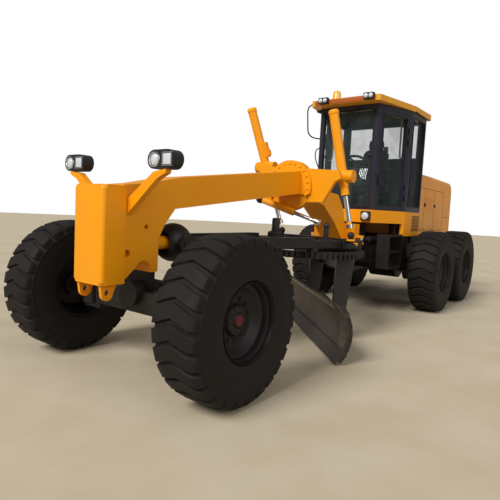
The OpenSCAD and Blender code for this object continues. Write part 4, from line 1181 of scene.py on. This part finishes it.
def makeBlade(b):
    low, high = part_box("circle_ring")
    place = shift((low[0] + high[0]) / 2, (low[1] + high[1]) / 2, 0) @ turn(b["turned"], "Z")
    left, right = b["shift"] - b["half"], b["shift"] + b["half"]
    inner, outer = b["inner"], b["outer"]

    def strip(bm):
        curvedBand(bm, (33, 43.5), (inner - 0.006, inner + 0.001), (left + 0.02, right - 0.02))

    def endBits(bm):
        for edge, side in ((right, 1), (left, -1)):
            across = (edge - side * 0.003, edge - side * 0.2)
            curvedBand(bm, (-42, 44), (inner - 0.008, inner + 0.001), across)

    def holes(bm):
        a, r = math.radians(b["holeAngle"]), inner - 0.0075
        for i in range(b["holes"]):
            y = left + 0.13 + i * (right - left - 0.26) / (b["holes"] - 1)
            spot = (b["arcX"] - r * math.cos(a), y, b["arcZ"] + r * math.sin(a))
            turnedAbout(bm, b["hole"], 14, facing(spot, (math.cos(a), 0, -math.sin(a))))

    def ribs(bm):
        for i in range(b["ribs"]):
            y = left + 0.25 + i * (right - left - 0.5) / (b["ribs"] - 1)
            if abs(y) >= b["carrierHalf"]:
                curvedBand(bm, (-30, -8), (outer - 0.002, outer + 0.03), (y - 0.008, y + 0.008), 5)
        for edge, side in ((right, 1), (left, -1)):
            across = (edge - side * 0.002, edge - side * 0.016)
            curvedBand(bm, (-40, 42), (outer - 0.002, outer + 0.035), across)

    rows = (
        ("blade_top_strip", strip, "paleSteel", "blade_steel"),
        ("blade_end_bits", endBits, "wornSteel", "blade_steel"),
        ("blade_strip_holes", holes, "linerBlack", "black_steel"),
        ("blade_ribs", ribs, "blackSteel", "blade_steel"),
    )
    for name, build, finish, slot in rows:
        mesh = meshFrom(name, build)
        mesh.transform(place)
        addPiece(name, mesh, finish, "blade")


makeBlade(blade)
print("stage: blade details")

# linkage: the circle's drive, and the posts and collars under the lift balls

drive = {
    "place": (1.854, 0.17, 1.18),
    "case": [(0, 0.16), (0.05, 0.16), (0.052, 0.13), (0.085, 0.12), (0.095, 0.11), (0.095, 0.02),
             (0.11, 0.012), (0.11, -0.01), (0, -0.012)],
    "motor": [(0, 0.29), (0.03, 0.288), (0.045, 0.28), (0.048, 0.25), (0.048, 0.16), (0, 0.159)],
    "boltPlace": (1.854, 0.17, 1.192),
    "bolts": (0.103, 10, 0.008),
    "collar": [(0.036, 0.0), (0.05, 0.0), (0.056, -0.006), (0.056, -0.02), (0.036, -0.021)],
}


def makeLinkage(d):
    base = shift(*d["place"])
    turnedPiece("circle_drive_case", [(d["case"], base)], "blackSteel", "drawbar")
    turnedPiece("circle_drive_motor", [(d["motor"], base)], "plastic", "drawbar")
    boltRing("bolts_drive", facing(d["boltPlace"], (0, 0, 1)), *d["bolts"], "blackSteel", "drawbar")
    posts, collars = [], []
    for side, word in sides:
        x, y, z = lifts[word]["ball"]
        low, high = sorted((y + side * 0.052, y + side * 0.09))
        posts.append(((x - 0.026, low, 1.16), (x + 0.026, high, z - 0.09)))
        collars.append((d["collar"], shift(x, y, z - 0.05)))
    blocksPiece("lift_ball_posts", posts, "paint", "drawbar", 0.008)
    turnedPiece("lift_ball_collars", collars, "paint", "drawbar")


makeLinkage(drive)
print("stage: linkage details")

# kingpin caps, exhaust, tail lamps and the nose

ends = {
    "kingpin": [(0, 0.022), (0.03, 0.021), (0.045, 0.012), (0.052, 0.0), (0.052, -0.004), (0, -0.005)],
    "kingpinPlace": (3.81, 0.76),
    "exhaustPlace": (-2.659, -0.26),
    "collar": [(0.048, -0.03), (0.066, -0.028), (0.068, -0.005), (0.064, 0.004), (0.048, 0.004)],
    "collarHeight": 2.81,
    "band": [(0.061, -0.012), (0.067, -0.01), (0.067, 0.01), (0.061, 0.012)],
    "bandHeights": (2.52, 2.74),
    "outlet": [(0.036, 0.0), (0.045, 0.0), (0.045, 0.11), (0.04, 0.15), (0.036, 0.15)],
    "outletHeight": 2.806,
    "tailLamp": [((-4.484, 0.48, 1.72), (-4.466, 0.58, 1.9))],
    "noseLow": (4.168, -0.2015, 0.8685),
    "noseHigh": (4.3985, 0.2015, 1.6915),
    "noseRound": 0.036,
}


def makeEnds(e):
    x, out = e["kingpinPlace"]
    for side, word in sides:
        body = f"knuckle_{word}"
        place = shift(x, side * out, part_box(body)[1][2])
        turnedPiece(f"kingpin_cap_{word}", [(e["kingpin"], place)], "blackSteel", body)
    pipe = e["exhaustPlace"]
    rings = [(e["collar"], shift(*pipe, e["collarHeight"]))]
    rings += [(e["band"], shift(*pipe, height)) for height in e["bandHeights"]]
    turnedPiece("exhaust_outlet", rings, "blackSteel", "rear")
    turnedPiece("exhaust_bend", [(e["outlet"], shift(*pipe, e["outletHeight"]))], "blackSteel", "rear")
    blocksPiece("tail_lamps", mirroredBlocks(e["tailLamp"]), "tailRed", "rear", 0.006)


makeEnds(ends)


def makeNoseSkin(e):
    # the nose block's rounded front, with every edge broken that isn't on its back
    def build(bm):
        bmesh.ops.create_cube(bm, size=1)
        low, high = Vector(e["noseLow"]), Vector(e["noseHigh"])
        middle = (low + high) / 2
        for v in bm.verts:
            v.co = Vector(v.co[i] * (high - low)[i] for i in range(3)) + middle
        front = [edge for edge in bm.edges if any(v.co.x > middle.x for v in edge.verts)]
        bmesh.ops.bevel(bm, geom=front, offset=e["noseRound"], segments=6, affect="EDGES", profile=0.5)
    addPiece("nose_skin", meshFrom("noseSkin", build), "paint", "front", smooth=50)


makeNoseSkin(ends)
print("stage: axle, rear and nose details")

# floor

floor = {
    "reach": 60.0,
    "corners": 64,
    "colour": (0.47, 0.39, 0.265),
    "worn": (0.55, 0.47, 0.34),
    "rough": 0.95,
}


def makeFloor(f):
    def build(bm):
        angles = [2 * math.pi * i / f["corners"] for i in range(f["corners"])]
        edge = [bm.verts.new((f["reach"] * math.cos(a), f["reach"] * math.sin(a), 0)) for a in angles]
        middle = bm.verts.new((0, 0, 0))
        for a, b in zip(edge, edge[1:] + edge[:1]):
            bm.faces.new((middle, a, b))
    mesh = meshFrom("floor", build)
    mat, tree, surface = newMaterial("floorTone")
    tone = rangeNode(tree, noiseAt(tree, objectCoords(tree), 1.2, 5, 0.6), 0.2, 0.8)
    feed(tree, surface["Base Color"], mixColour(tree, tone, f["colour"], f["worn"]))
    feed(tree, surface["Roughness"], f["rough"])
    mesh.materials.append(mat)
    newObject("floor", mesh)


makeFloor(floor)
print("stage: floor")
